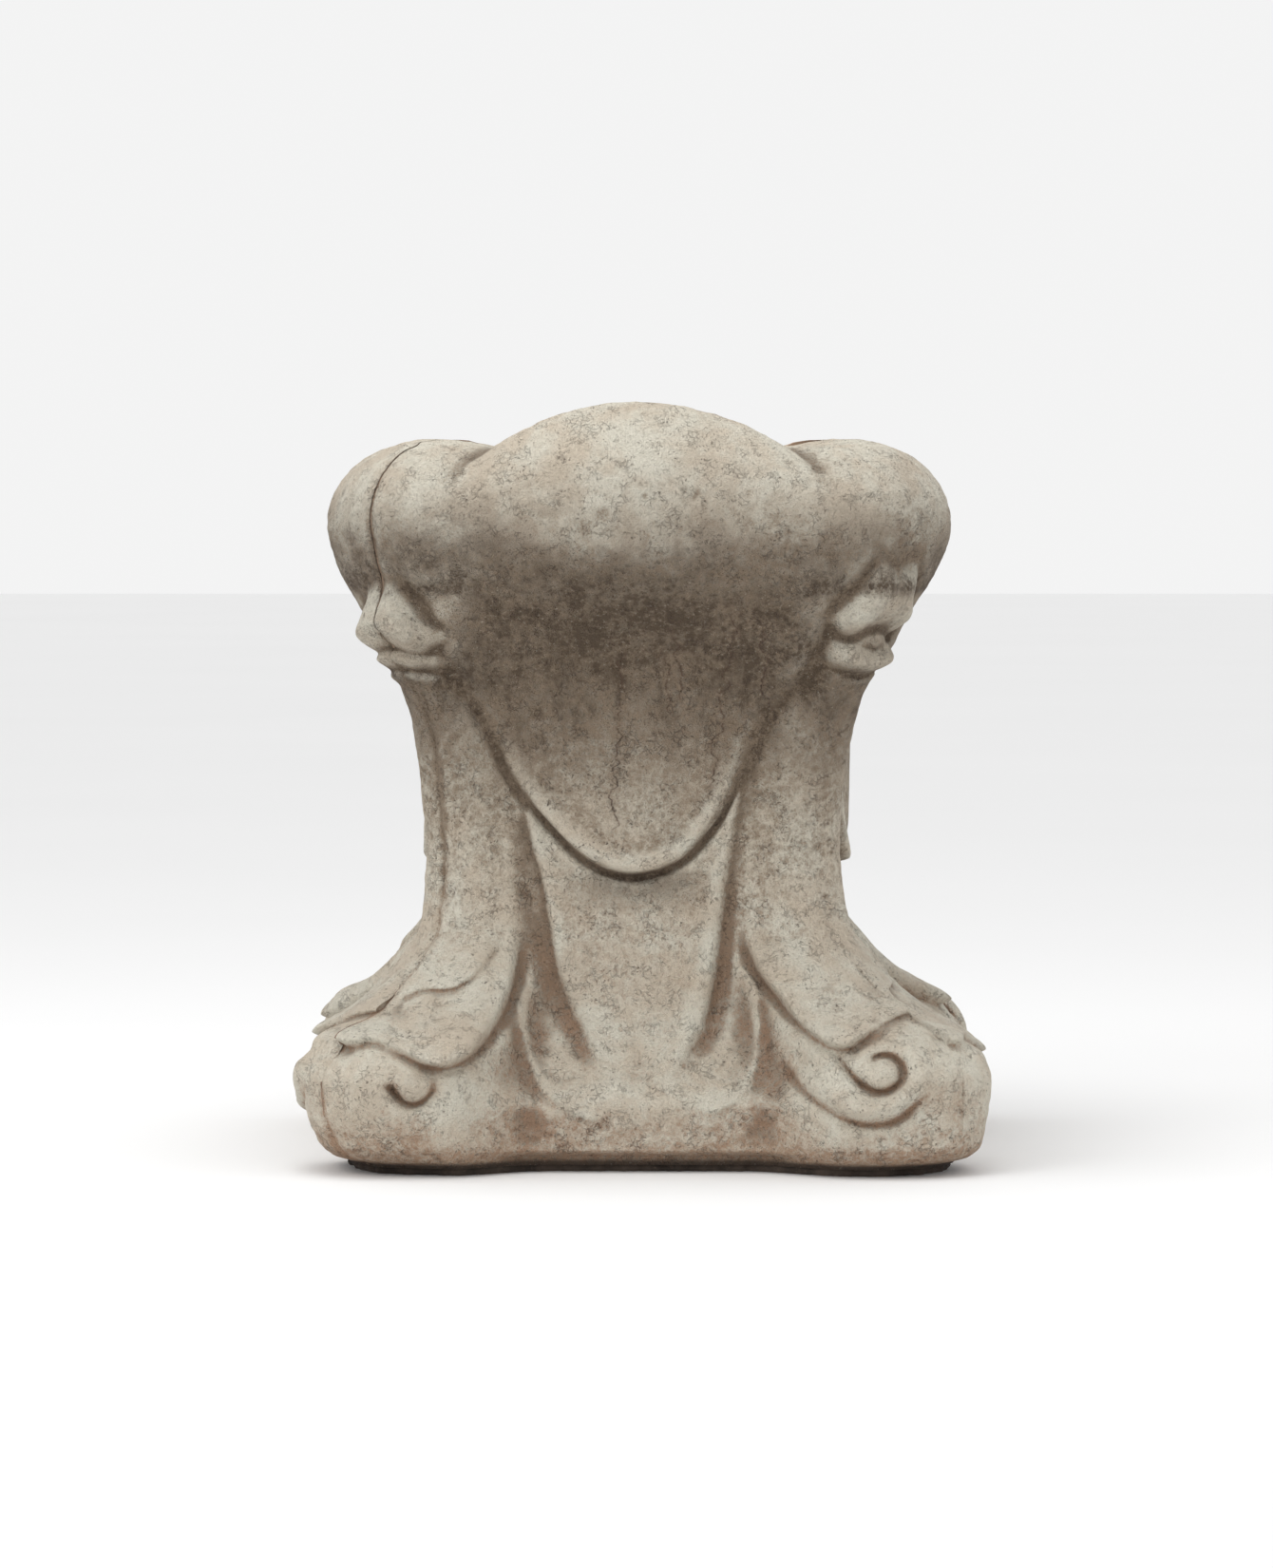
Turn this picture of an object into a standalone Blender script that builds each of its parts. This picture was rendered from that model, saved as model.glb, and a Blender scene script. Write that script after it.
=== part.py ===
"""Baptismal font of cast stone: two half castings, a brass basin and its waste.

Frame: metres, +Z up, origin on the floor under the middle of the font, -Y the front.
"""
import math

import bmesh
import bpy
import numpy as np
from mathutils import Matrix, Vector

# Driving dimensions -------------------------------------------------------------------
HEIGHT = 0.900            # floor to the crown of the front and back lobes
GAP = 0.0003              # clearance between pieces that touch
BED = 0.008               # thickness of the mortar bed under the foot
STONE_FOOT = BED + GAP    # lowest point of the castings
BOWL_START = 0.620        # height where the shaft starts to open into the bowl
BELLY = 0.738             # height of the bowl's widest ring at the sides

LEDGE_Z = 0.812           # ring ledge inside the rim, which carries the basin
LEDGE_OUT = 0.254         # outer radius of that ledge
WELL_R = 0.222            # radius of the recess that the basin hangs in
WELL_FLOOR = 0.640        # floor of that recess
BORE_R = 0.030            # drain bore down the middle of the shaft
JOINT = 0.0036            # width of the joint between the two castings
JOINT_RECESS = 0.0025     # how far the joint's mortar is raked back

BASIN_R = 0.214           # inside radius of the basin at its rim
BASIN_DEPTH = 0.135       # depth of the basin below its flange
BASIN_WALL = 0.0025
BEDDING = 0.004           # bedding compound under the basin's flange
FLANGE_R = 0.247          # outer radius of the basin's flange
WASTE_R = 0.019           # waste outlet's outer radius
WASTE_BORE = 0.0150
PIPE_R = 0.016

RING_PER_OCTANT = 8       # points along one eighth of the plan
FLAT_SHARE = 0.62         # share of those points on the straight part of a face
TURNS = 40                # sides of a turned piece

# Plan of the font by height: (height, half width of the block, corner radius)
PLAN = [
    (0.000, 0.357, 0.100), (0.012, 0.378, 0.095), (0.030, 0.390, 0.090),
    (0.070, 0.396, 0.090), (0.105, 0.395, 0.088), (0.135, 0.384, 0.085),
    (0.158, 0.364, 0.078), (0.180, 0.328, 0.070), (0.205, 0.299, 0.062),
    (0.235, 0.274, 0.056), (0.270, 0.253, 0.052), (0.320, 0.242, 0.052),
    (0.370, 0.239, 0.052), (0.430, 0.243, 0.052), (0.480, 0.248, 0.052),
    (0.525, 0.258, 0.054), (0.560, 0.273, 0.058), (0.590, 0.290, 0.070),
    (0.620, 0.306, 0.090), (0.655, 0.328, 0.130), (0.690, 0.352, 0.165),
    (0.738, 0.369, 0.190),
]
# Distance of a face's middle from the axis by height: (height, front and back, sides)
FACE = [
    (0.000, 0.318, 0.318), (0.030, 0.328, 0.328), (0.070, 0.326, 0.326),
    (0.110, 0.302, 0.302), (0.160, 0.270, 0.270), (0.220, 0.250, 0.250),
    (0.300, 0.238, 0.238), (0.400, 0.236, 0.236), (0.500, 0.242, 0.242),
    (0.560, 0.256, 0.252), (0.600, 0.280, 0.272), (0.640, 0.317, 0.302),
    (0.690, 0.366, 0.346), (0.738, 0.394, 0.369),
]
# Where a face's hollow middle turns into the corner block: (height, from, to)
TURN = [
    (0.000, 0.120, 0.235), (0.105, 0.125, 0.240), (0.160, 0.110, 0.220),
    (0.230, 0.090, 0.190), (0.320, 0.080, 0.180), (0.560, 0.080, 0.190),
    (0.640, 0.040, 0.190), (0.738, 0.010, 0.178),
]
# Lower edge of the hanging apron: (distance from the face's middle, height)
APRON = [
    (0.000, 0.343), (0.030, 0.348), (0.056, 0.363), (0.092, 0.395), (0.122, 0.435),
    (0.145, 0.476), (0.168, 0.529), (0.190, 0.567), (0.208, 0.602), (0.230, 0.660),
]
# Half width of the pointed tongue under the apron: (height, half width)
TONGUE = [
    (0.086, 0.000), (0.100, 0.030), (0.137, 0.057), (0.193, 0.080), (0.257, 0.098),
    (0.300, 0.104), (0.400, 0.118),
]
# Lower edge of the leaf that covers a leg's foot: (distance from the middle, height)
LEAF = [
    (0.142, 0.250), (0.152, 0.208), (0.166, 0.174), (0.193, 0.147), (0.224, 0.126),
    (0.255, 0.132), (0.290, 0.152), (0.330, 0.172), (0.372, 0.176),
]
# Crown of the rim by angle from the front: (degrees, height, radius)
CROWN = [
    (0.0, 0.900, 0.300), (12.0, 0.892, 0.302), (22.0, 0.868, 0.306),
    (29.0, 0.848, 0.312), (36.0, 0.853, 0.322), (45.0, 0.855, 0.330),
    (60.0, 0.851, 0.304), (90.0, 0.850, 0.268),
]
BRACKET_FROM = 0.190      # a corner bracket starts this far from the face's middle


# Shared shaping helpers ---------------------------------------------------------------
def smooth(low, high, x):
    """0 below low, 1 above high, and an even S curve between."""
    t = np.clip((x - low) / (high - low), 0.0, 1.0)
    return t * t * (3.0 - 2.0 * t)


def through(table, x, column=1):
    """Smooth curve through the rows of a table, level beyond both ends."""
    rows = np.asarray(table, float)
    xs = rows[:, 0]
    ys = rows[:, column]
    slope = np.diff(ys) / np.diff(xs)
    before = slope[:-1]
    after = slope[1:]
    rising = before * after > 0
    tangent = np.zeros_like(ys)
    total = np.where(rising, before + after, 1.0)
    tangent[1:-1] = np.where(rising, 2.0 * before * after / total, 0.0)
    x = np.clip(x, xs[0], xs[-1])
    i = np.clip(np.searchsorted(xs, x) - 1, 0, len(xs) - 2)
    span = xs[i + 1] - xs[i]
    t = (x - xs[i]) / span
    return ((1 + 2 * t) * (1 - t) ** 2 * ys[i] + t * (1 - t) ** 2 * span * tangent[i]
            + t * t * (3 - 2 * t) * ys[i + 1] + t * t * (t - 1) * span * tangent[i + 1])


def bump(x, middle, width):
    """A rounded ridge, 1 at its middle."""
    return np.exp(-((x - middle) / width) ** 2)


# The sculpted outside -----------------------------------------------------------------
def plan_point(along, height, front):
    """A point of one face's outline: along runs from -1 to 1 between two diagonals."""
    half = through(PLAN, height, 1)
    radius = through(PLAN, height, 2)
    middle = through(FACE, height, 1 if front else 2)
    straight = half - radius
    share = np.minimum(np.abs(along) / FLAT_SHARE, 1.0)
    turn = np.clip((np.abs(along) - FLAT_SHARE) / (1.0 - FLAT_SHARE), 0.0, 1.0) * math.pi / 4
    across = straight * share + radius * np.sin(turn)
    start = np.minimum(through(TURN, height, 1), straight * 0.55)
    stop = np.minimum(through(TURN, height, 2), straight)
    hollow = (middle - half) * (1.0 - smooth(start, stop, across))
    out = straight + radius * np.cos(turn) + np.where(turn > 0, 0.0, hollow)
    return np.sign(along) * across, out


def relief(across, height):
    """How far the carving stands proud of the plain outline."""
    a = np.abs(across)
    edge = through(APRON, a)
    lean = (through(APRON, a + 0.004) - through(APRON, a - 0.004)) / 0.008
    above = (height - edge) / np.sqrt(1.0 + lean * lean)
    fade = 1.0 - smooth(0.520, 0.640, height)
    proud = fade * (0.015 * smooth(-0.006, 0.008, above) + 0.004 * bump(above, 0.010, 0.009))
    wide = through(TONGUE, height)
    low = smooth(0.060, 0.100, height) * (1.0 - smooth(-0.030, 0.0, above))
    proud = proud + low * (0.006 * bump(a, wide - 0.004, 0.012) - 0.007 * bump(a, wide + 0.016, 0.012))
    leaf = through(LEAF, a)
    on_leg = smooth(0.135, 0.165, a)
    near = 1.0 - smooth(0.02, 0.10, height - leaf)
    proud = proud + on_leg * 0.012 * smooth(-0.006, 0.006, height - leaf) * near
    corner = smooth(BRACKET_FROM, BRACKET_FROM + 0.055, a)
    lip = 0.016 * bump(height, 0.650, 0.030) + 0.004 * bump(height, 0.604, 0.009)
    return proud + corner * lip


def crown_angle(x, y):
    """Angle from the nearer of the front and the back, 0 to 90 degrees."""
    return np.degrees(np.arctan2(np.abs(x), np.abs(y)))


def ring(height, part):
    """One closed ring of the outside; part above 0 rolls it from belly to ledge."""
    steps = RING_PER_OCTANT * 2
    along = -1.0 + np.arange(steps) * 2.0 / steps
    level = np.full(steps, float(height))
    points = []
    for face in range(4):
        across, out = plan_point(along, level, face % 2 == 0)
        z = level.copy()
        length = np.hypot(across, out)
        proud = relief(across, level) * (1.0 if part == 0 else 0.0)
        across = across + proud * across / length
        out = out + proud * out / length
        turn = face * math.pi / 2
        x = across * math.cos(turn) + out * math.sin(turn)
        y = across * math.sin(turn) - out * math.cos(turn)
        if part > 0:
            x, y, z = roll(x, y, part)
        elif height > BOWL_START:
            belly = belly_height(x, y)
            z = BOWL_START + (level - BOWL_START) * (belly - BOWL_START) / (BELLY - BOWL_START)
        points.append(np.stack([x, y, z], axis=1))
    return np.concatenate(points)


def belly_height(x, y):
    """The corners are widest a little higher up than the faces."""
    diagonal = np.sin(np.radians(2.0 * crown_angle(x, y))) ** 2
    return BELLY + 0.026 * diagonal


def roll(x, y, part):
    """From the belly (0) over the crown (1) and down to the ledge (2)."""
    angle = crown_angle(x, y)
    top = through(CROWN, angle, 1)
    crest = through(CROWN, angle, 2)
    radius = np.hypot(x, y)
    belly = belly_height(x, y)
    if part <= 1:
        sweep = part * math.pi / 2
        new = crest + (radius - crest) * math.cos(sweep)
        z = belly + (top - belly) * math.sin(sweep)
    else:
        sweep = (part - 1) * math.pi / 2
        new = crest - (crest - LEDGE_OUT) * math.sin(sweep)
        z = LEDGE_Z + (top - LEDGE_Z) * math.cos(sweep)
    return x * new / radius, y * new / radius, z


def levels():
    """Heights of the rings up the outside, closer together where the carving is."""
    low = [0.0, 0.012, 0.030, 0.055, 0.085, 0.110, 0.130, 0.145, 0.160, 0.175]
    shaft = [0.190 + 0.0225 * i for i in range(15)]
    cap = [0.522, 0.542, 0.560, 0.577, 0.592, 0.604, 0.616, 0.632, 0.652, 0.672, 0.695, 0.718]
    return low + shaft + cap


def font_mesh(name):
    """The whole stone body as one closed mesh, before it is split in two."""
    rings = []
    for height in levels():
        points = ring(height, 0)
        points[:, 2] += STONE_FOOT * max(0.0, 1.0 - height / BOWL_START)
        rings.append(points)
    for part in (0.0001, 0.16, 0.32, 0.48, 0.64, 0.82, 1.0, 1.25, 1.5, 1.75, 2.0):
        rings.append(ring(BELLY, part))
    count = len(rings[0])
    outer = rings[-1]
    around = np.arctan2(outer[:, 1], outer[:, 0])
    for radius, z in ((WELL_R + 0.004, LEDGE_Z), (WELL_R, LEDGE_Z - 0.004), (WELL_R, WELL_FLOOR + 0.050),
                      (WELL_R - 0.016, WELL_FLOOR + 0.014), (WELL_R - 0.050, WELL_FLOOR),
                      (BORE_R, WELL_FLOOR), (BORE_R, STONE_FOOT)):
        rings.append(np.stack([radius * np.cos(around), radius * np.sin(around),
                               np.full(count, z)], axis=1))
    mesh = bpy.data.meshes.new(name)
    points = np.concatenate(rings)
    faces = []
    for row in range(len(rings)):
        above = (row + 1) % len(rings)
        for i in range(count):
            j = (i + 1) % count
            faces.append((row * count + i, row * count + j, above * count + j, above * count + i))
    mesh.from_pydata(points.tolist(), [], faces)
    mesh.update()
    return mesh


# Making objects -----------------------------------------------------------------------
def material(name, colour, roughness, metallic=0.0):
    """A Principled material."""
    made = bpy.data.materials.new(name)
    made.use_nodes = True
    shader = made.node_tree.nodes["Principled BSDF"]
    shader.inputs["Base Color"].default_value = (*colour, 1.0)
    shader.inputs["Roughness"].default_value = roughness
    shader.inputs["Metallic"].default_value = metallic
    made.diffuse_color = (*colour, 1.0)
    return made


def place(name, mesh, finish, parent=None, at=(0.0, 0.0, 0.0), turn=(0.0, 0.0, 0.0)):
    """Links a mesh as a named object."""
    made = bpy.data.objects.new(name, mesh)
    bpy.context.scene.collection.objects.link(made)
    made.location = at
    made.rotation_euler = turn
    made.parent = parent
    if finish:
        mesh.materials.append(finish)
    return made


def frame_point(name, at, parent=None):
    """An empty that pieces hang from."""
    made = bpy.data.objects.new(name, None)
    bpy.context.scene.collection.objects.link(made)
    made.location = at
    made.parent = parent
    return made


def cutter(made):
    """Marks an object as a cutter, which isn't a piece."""
    made.hide_render = True
    made.display_type = "WIRE"
    return made


def boolean(made, other, operation="DIFFERENCE"):
    """Adds a Boolean modifier."""
    change = made.modifiers.new(operation.title() + "_" + other.name, "BOOLEAN")
    change.operation = operation
    change.object = other
    change.solver = "EXACT"
    return change


def turned(name, profile, sides=TURNS):
    """A closed solid of revolution; the profile runs up the outside and down the inside."""
    build = bmesh.new()
    rings = []
    for radius, z in profile:
        if radius < 1e-6:
            rings.append([build.verts.new((0.0, 0.0, z))])
            continue
        rings.append([build.verts.new((radius * math.cos(2 * math.pi * i / sides),
                                       radius * math.sin(2 * math.pi * i / sides), z))
                      for i in range(sides)])
    closed = min(len(rings[0]), len(rings[-1])) > 1
    pairs = list(zip(rings, rings[1:])) + ([(rings[-1], rings[0])] if closed else [])
    for low, high in pairs:
        for i in range(sides):
            j = (i + 1) % sides
            if len(low) == 1:
                build.faces.new((low[0], high[j], high[i]))
            elif len(high) == 1:
                build.faces.new((low[i], low[j], high[0]))
            else:
                build.faces.new((low[i], low[j], high[j], high[i]))
    mesh = bpy.data.meshes.new(name)
    build.to_mesh(mesh)
    build.free()
    mesh.shade_smooth()
    mesh.set_sharp_from_angle(angle=math.radians(35))
    return mesh


def box_mesh(name, size):
    """A box about its own middle."""
    build = bmesh.new()
    bmesh.ops.create_cube(build, size=1.0)
    bmesh.ops.scale(build, vec=size, verts=build.verts)
    mesh = bpy.data.meshes.new(name)
    build.to_mesh(mesh)
    build.free()
    return mesh


def prism(name, corners, thickness):
    """A flat outline in X and Z pulled out along Y, both ways from the middle."""
    build = bmesh.new()
    front = [build.verts.new((x, -thickness / 2, z)) for x, z in corners]
    back = [build.verts.new((x, thickness / 2, z)) for x, z in corners]
    build.faces.new(front)
    build.faces.new(list(reversed(back)))
    for i in range(len(front)):
        j = (i + 1) % len(front)
        build.faces.new((front[j], front[i], back[i], back[j]))
    bmesh.ops.recalc_face_normals(build, faces=build.faces)
    mesh = bpy.data.meshes.new(name)
    build.to_mesh(mesh)
    build.free()
    return mesh


# Metal across the joint ---------------------------------------------------------------
JOINT_ANGLE = math.radians(45.0)      # the joint runs from the front left to the back right
CRAMP_LENGTH = 0.084
CRAMP_WIDTH = 0.014
CRAMP_THICK = 0.005
CRAMP_LEG = 0.016
CRAMPS = {"top": (0.2405, LEDGE_Z - 0.003, 1), "base": (0.340, STONE_FOOT + 0.004, -1)}
DOWEL_R = 0.008
DOWEL_LENGTH = 0.120
DOWELS = {"upper": (0.300, 0.725), "lower": (0.190, 0.300)}
CORNERS = {"front_left": JOINT_ANGLE + math.pi, "back_right": JOINT_ANGLE}


def cramp_mesh(name, upright, grow=0.0, reach=0.0):
    """A staple: a flat bar with both ends turned into the stone; reach opens its slot."""
    half = CRAMP_LENGTH / 2 + grow
    inner = CRAMP_LENGTH / 2 - CRAMP_THICK - grow
    top = CRAMP_THICK / 2 + max(grow, reach)
    under = -CRAMP_THICK / 2 - grow
    tip = under - CRAMP_LEG
    corners = [(-half, top), (-half, tip), (-inner, tip), (-inner, under),
               (inner, under), (inner, tip), (half, tip), (half, top)]
    return prism(name, [(x, z * upright) for x, z in corners], CRAMP_WIDTH + 2 * grow)


def dowel_mesh(name, grow=0.0):
    """A round bar lying along X."""
    build = bmesh.new()
    bmesh.ops.create_cone(build, cap_ends=True, segments=16, radius1=DOWEL_R + grow,
                          radius2=DOWEL_R + grow, depth=DOWEL_LENGTH + 2 * grow,
                          matrix=Matrix.Rotation(math.pi / 2, 4, "Y"))
    mesh = bpy.data.meshes.new(name)
    build.to_mesh(mesh)
    build.free()
    mesh.shade_smooth()
    mesh.set_sharp_from_angle(angle=math.radians(35))
    return mesh


def on_joint(name, mesh, finish, corner, radius, z):
    """Places a piece on the joint with its own X axis square across it."""
    angle = CORNERS[corner]
    at = (radius * math.cos(angle), radius * math.sin(angle), z)
    return place(name, mesh, finish, at=at, turn=(0.0, 0.0, angle + math.pi / 2))


def fixings(bronze):
    """Cramps and dowels, and the cutters that make room for them."""
    cutters = []
    for corner in CORNERS:
        for level, (radius, z, upright) in CRAMPS.items():
            name = "cramp_" + level + "_" + corner
            on_joint(name, cramp_mesh(name, upright), bronze, corner, radius, z)
            slot = cramp_mesh("slot_" + name, upright, GAP, 0.010)
            cutters.append(cutter(on_joint("slot_" + name, slot, None, corner, radius, z)))
        for level, (radius, z) in DOWELS.items():
            name = "dowel_" + level + "_" + corner
            on_joint(name, dowel_mesh(name), bronze, corner, radius, z)
            hole = dowel_mesh("hole_" + name, GAP)
            cutters.append(cutter(on_joint("hole_" + name, hole, None, corner, radius, z)))
    return cutters


# Stone --------------------------------------------------------------------------------
ROOM = 1.2                            # cutters reach past the whole font


def castings(body, finishes, cutters):
    """The two half castings, parted along the joint."""
    square = Vector((-1.0, 1.0, 0.0)).normalized()
    for (name, finish), side in zip(finishes.items(), (1.0, -1.0)):
        made = place(name, body.copy(), finish)
        at = square * side * (ROOM / 2 - JOINT / 2) + Vector((0.0, 0.0, HEIGHT / 2))
        away = place("beyond_" + name, box_mesh("beyond_" + name, (2 * ROOM, ROOM, ROOM)), None,
                     at=at, turn=(0.0, 0.0, JOINT_ANGLE))
        boolean(made, cutter(away))
        for room in cutters:
            boolean(made, room)


def joint_mortar(body, finish, cutters):
    """Mortar in the joint, raked back from every face of the stone."""
    raked = body.copy()
    normals = np.zeros(len(raked.vertices) * 3)
    raked.vertex_normals.foreach_get("vector", normals)
    points = np.zeros(len(raked.vertices) * 3)
    raked.vertices.foreach_get("co", points)
    raked.vertices.foreach_set("co", points - normals * JOINT_RECESS)
    raked.update()
    for corner, angle in CORNERS.items():
        name = "joint_mortar_" + corner
        at = (ROOM / 2 * math.cos(angle), ROOM / 2 * math.sin(angle), HEIGHT / 2)
        made = place(name, box_mesh(name, (ROOM, JOINT - 2 * GAP, ROOM)), finish, at=at,
                     turn=(0.0, 0.0, angle))
        shape = cutter(place("raked_" + corner, raked, None))
        boolean(made, shape, "INTERSECT")
        for room in cutters:
            boolean(made, room)


def bed_mortar(finish):
    """The mortar bed that the font stands on, set in from the foot's edge."""
    inset = 0.010
    outline = ring(0.0, 0)[:, :2]
    length = np.hypot(outline[:, 0], outline[:, 1])
    outer = outline * ((length - inset) / length)[:, None]
    inner = outline * (BORE_R / length)[:, None]
    rings = [(outer, 0.0), (outer, BED), (inner, BED), (inner, 0.0)]
    return place("bed_mortar", loft("bed_mortar", rings), finish)


def loft(name, rings):
    """A closed ring-shaped solid through (outline, height) pairs, back to the first."""
    count = len(rings[0][0])
    points = [(x, y, z) for outline, z in rings for x, y in outline]
    faces = []
    for row in range(len(rings)):
        above = (row + 1) % len(rings)
        for i in range(count):
            j = (i + 1) % count
            faces.append((row * count + i, row * count + j, above * count + j, above * count + i))
    mesh = bpy.data.meshes.new(name)
    mesh.from_pydata(points, [], faces)
    mesh.update()
    return mesh


# Basin and waste ----------------------------------------------------------------------
FLANGE_Z = LEDGE_Z + BEDDING          # underside of the basin's flange
BASIN_FLAT = 0.050                    # radius of the flat middle of the basin's floor
FLOOR_Z = FLANGE_Z + BASIN_WALL - BASIN_DEPTH
WASTE_TAIL = 0.600                    # lower end of the waste outlet
SEAT_R = 0.020                        # mouth of the tapered seat in the waste outlet
SEAT_DEPTH = 0.0063
WASTE_FLANGE = 0.003


def basin(finish):
    """A spun dish and a rolled hoop, brazed end to end, with a flat flange around the hoop."""
    steps = 8
    seam = 3
    sweep = [math.pi / 2 * i / steps for i in range(steps + 1)]
    drop = BASIN_DEPTH - BASIN_WALL
    inside = [(BASIN_FLAT + (BASIN_R - BASIN_FLAT) * math.cos(w),
               FLANGE_Z + BASIN_WALL - (drop + BASIN_WALL) * math.sin(w)) for w in sweep]
    outside = [(r + BASIN_WALL * math.cos(w), z - BASIN_WALL * math.sin(w))
               for (r, z), w in zip(inside, sweep)]
    hoop = outside[:seam + 1][::-1] + inside[:seam + 1]
    place("basin_hoop", turned("basin_hoop", hoop), finish)
    edge = [(r, z - GAP) for r, z in (outside[seam], inside[seam])]
    hole = WASTE_R + GAP
    dish = [(hole, FLOOR_Z - BASIN_WALL)] + outside[:seam:-1] + edge + inside[seam + 1:] + [(hole, FLOOR_Z)]
    place("basin_dish", turned("basin_dish", dish), finish)
    washer("basin_flange", finish, BASIN_R + BASIN_WALL + GAP, FLANGE_R, FLANGE_Z, FLANGE_Z + BASIN_WALL)


def washer(name, finish, inner, outer, low, high, parent=None, sides=TURNS):
    """A flat ring."""
    profile = [(outer, low), (outer, high), (inner, high), (inner, low)]
    return place(name, turned(name, profile, sides), finish, parent)


def hexagon(flat, count):
    """A hexagonal outline, flat being half the width across its flats."""
    points = []
    for i in range(count):
        angle = 2 * math.pi * i / count
        off = (angle + math.pi / 6) % (math.pi / 3) - math.pi / 6
        points.append((flat / math.cos(off) * math.cos(angle), flat / math.cos(off) * math.sin(angle)))
    return points


def circle(radius, count):
    """A round outline."""
    return [(radius * math.cos(2 * math.pi * i / count), radius * math.sin(2 * math.pi * i / count))
            for i in range(count)]


def waste(brass, copper, rubber):
    """Everything between the basin's floor and the floor of the church."""
    top = FLOOR_Z + GAP
    profile = [(WASTE_R, WASTE_TAIL), (WASTE_R, top), (0.033, top), (0.034, top + 0.0015),
               (0.032, top + WASTE_FLANGE), (SEAT_R, top + WASTE_FLANGE),
               (WASTE_BORE, top + WASTE_FLANGE - SEAT_DEPTH), (WASTE_BORE, WASTE_TAIL)]
    place("waste_outlet", turned("waste_outlet", profile, 32), brass)
    hold = WASTE_R + GAP
    under = FLOOR_Z - BASIN_WALL - GAP
    washer("outlet_gasket", rubber, hold, 0.031, under - 0.003, under, sides=32)
    low = under - 0.003 - GAP
    washer("backnut_washer", brass, hold, 0.030, low - 0.002, low, sides=32)
    low = low - 0.002 - GAP
    nut = [(hexagon(0.027, 24), low - 0.008), (hexagon(0.027, 24), low),
           (circle(hold, 24), low), (circle(hold, 24), low - 0.008)]
    place("backnut", loft("backnut", nut), brass)
    collar = WASTE_TAIL - GAP
    pipe = [(PIPE_R, 0.002), (PIPE_R, collar - 0.010), (WASTE_R, collar - 0.009), (WASTE_R, collar),
            (PIPE_R - 0.0015, collar), (PIPE_R - 0.0015, 0.002)]
    place("drain_pipe", turned("drain_pipe", pipe, 24), copper)
    low = collar - 0.018
    union = [(hexagon(0.0245, 24), low), (hexagon(0.0245, 24), low + 0.040),
             (circle(hold, 24), low + 0.040), (circle(hold, 24), collar - 0.0110),
             (circle(PIPE_R + GAP, 24), collar - 0.0118), (circle(PIPE_R + GAP, 24), low)]
    place("pipe_union_nut", loft("pipe_union_nut", union), brass)


# Plug ---------------------------------------------------------------------------------
PLUG_Z = FLOOR_Z + GAP + WASTE_FLANGE          # the plug's own origin: the top of its seat
RING_R = 0.014
RING_WIRE = 0.0018
RING_UP = 0.0062                      # height of the ring's pivot above the seat
LUG_THICK = 0.005
LUG_HALF = 0.0055
CAP_TOP = 0.0022


def plug(brass, rubber):
    """The plug, its seal and the ring that lifts it."""
    seat = frame_point("plug_axis", (0.0, 0.0, PLUG_Z))
    taper = (SEAT_R - WASTE_BORE) / SEAT_DEPTH
    high = -0.0012
    low = -0.0046
    seal = [(SEAT_R + low * taper - GAP, low), (SEAT_R + high * taper - GAP, high), (0.0118, high),
            (0.0118, low)]
    place("plug_seal", turned("plug_seal", seal, 32), rubber, seat)
    body = [(0.0, -0.0085), (0.0120, -0.0085), (0.0135, -0.0070), (0.0135, low - GAP),
            (0.0115, low - GAP), (0.0115, high + GAP), (0.0188, high + GAP + 0.0012),
            (0.0188, CAP_TOP - 0.0008), (0.0180, CAP_TOP), (0.0, CAP_TOP)]
    made = place("plug_body", turned("plug_body", body, 32), brass, seat)
    lug = []
    for i in range(13):
        angle = math.pi * i / 12
        lug.append((LUG_HALF * math.cos(angle), RING_UP + 0.0008 + LUG_HALF * 0.8 * math.sin(angle)))
    outline = [(LUG_HALF, CAP_TOP - 0.001)] + lug + [(-LUG_HALF, CAP_TOP - 0.001)]
    eye = cutter(place("lug_plug", prism("lug_plug", outline, LUG_THICK), None, seat))
    boolean(made, eye, "UNION")
    drill = turned("lug_hole", [(0.0, -0.01), (RING_WIRE + 0.0007, -0.01), (RING_WIRE + 0.0007, 0.01),
                                (0.0, 0.01)], 16)
    hole = cutter(place("lug_hole", drill, None, seat, (0.0, 0.0, RING_UP), (math.pi / 2, 0.0, 0.0)))
    boolean(made, hole)
    pivot = frame_point("ring_axis", (0.0, 0.0, RING_UP), seat)
    wire = []
    for i in range(10):
        angle = 2 * math.pi * i / 10
        wire.append((RING_R + RING_WIRE * math.cos(angle), RING_WIRE * math.sin(angle)))
    hoop = turned("plug_ring", wire, 32)
    hoop.transform(Matrix.Translation((RING_R, 0.0, 0.0)))
    place("plug_ring", hoop, brass, pivot)


# Assembly -----------------------------------------------------------------------------
def clear_scene():
    """Starts from an empty scene."""
    for old in list(bpy.data.objects):
        bpy.data.objects.remove(old, do_unlink=True)


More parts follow.
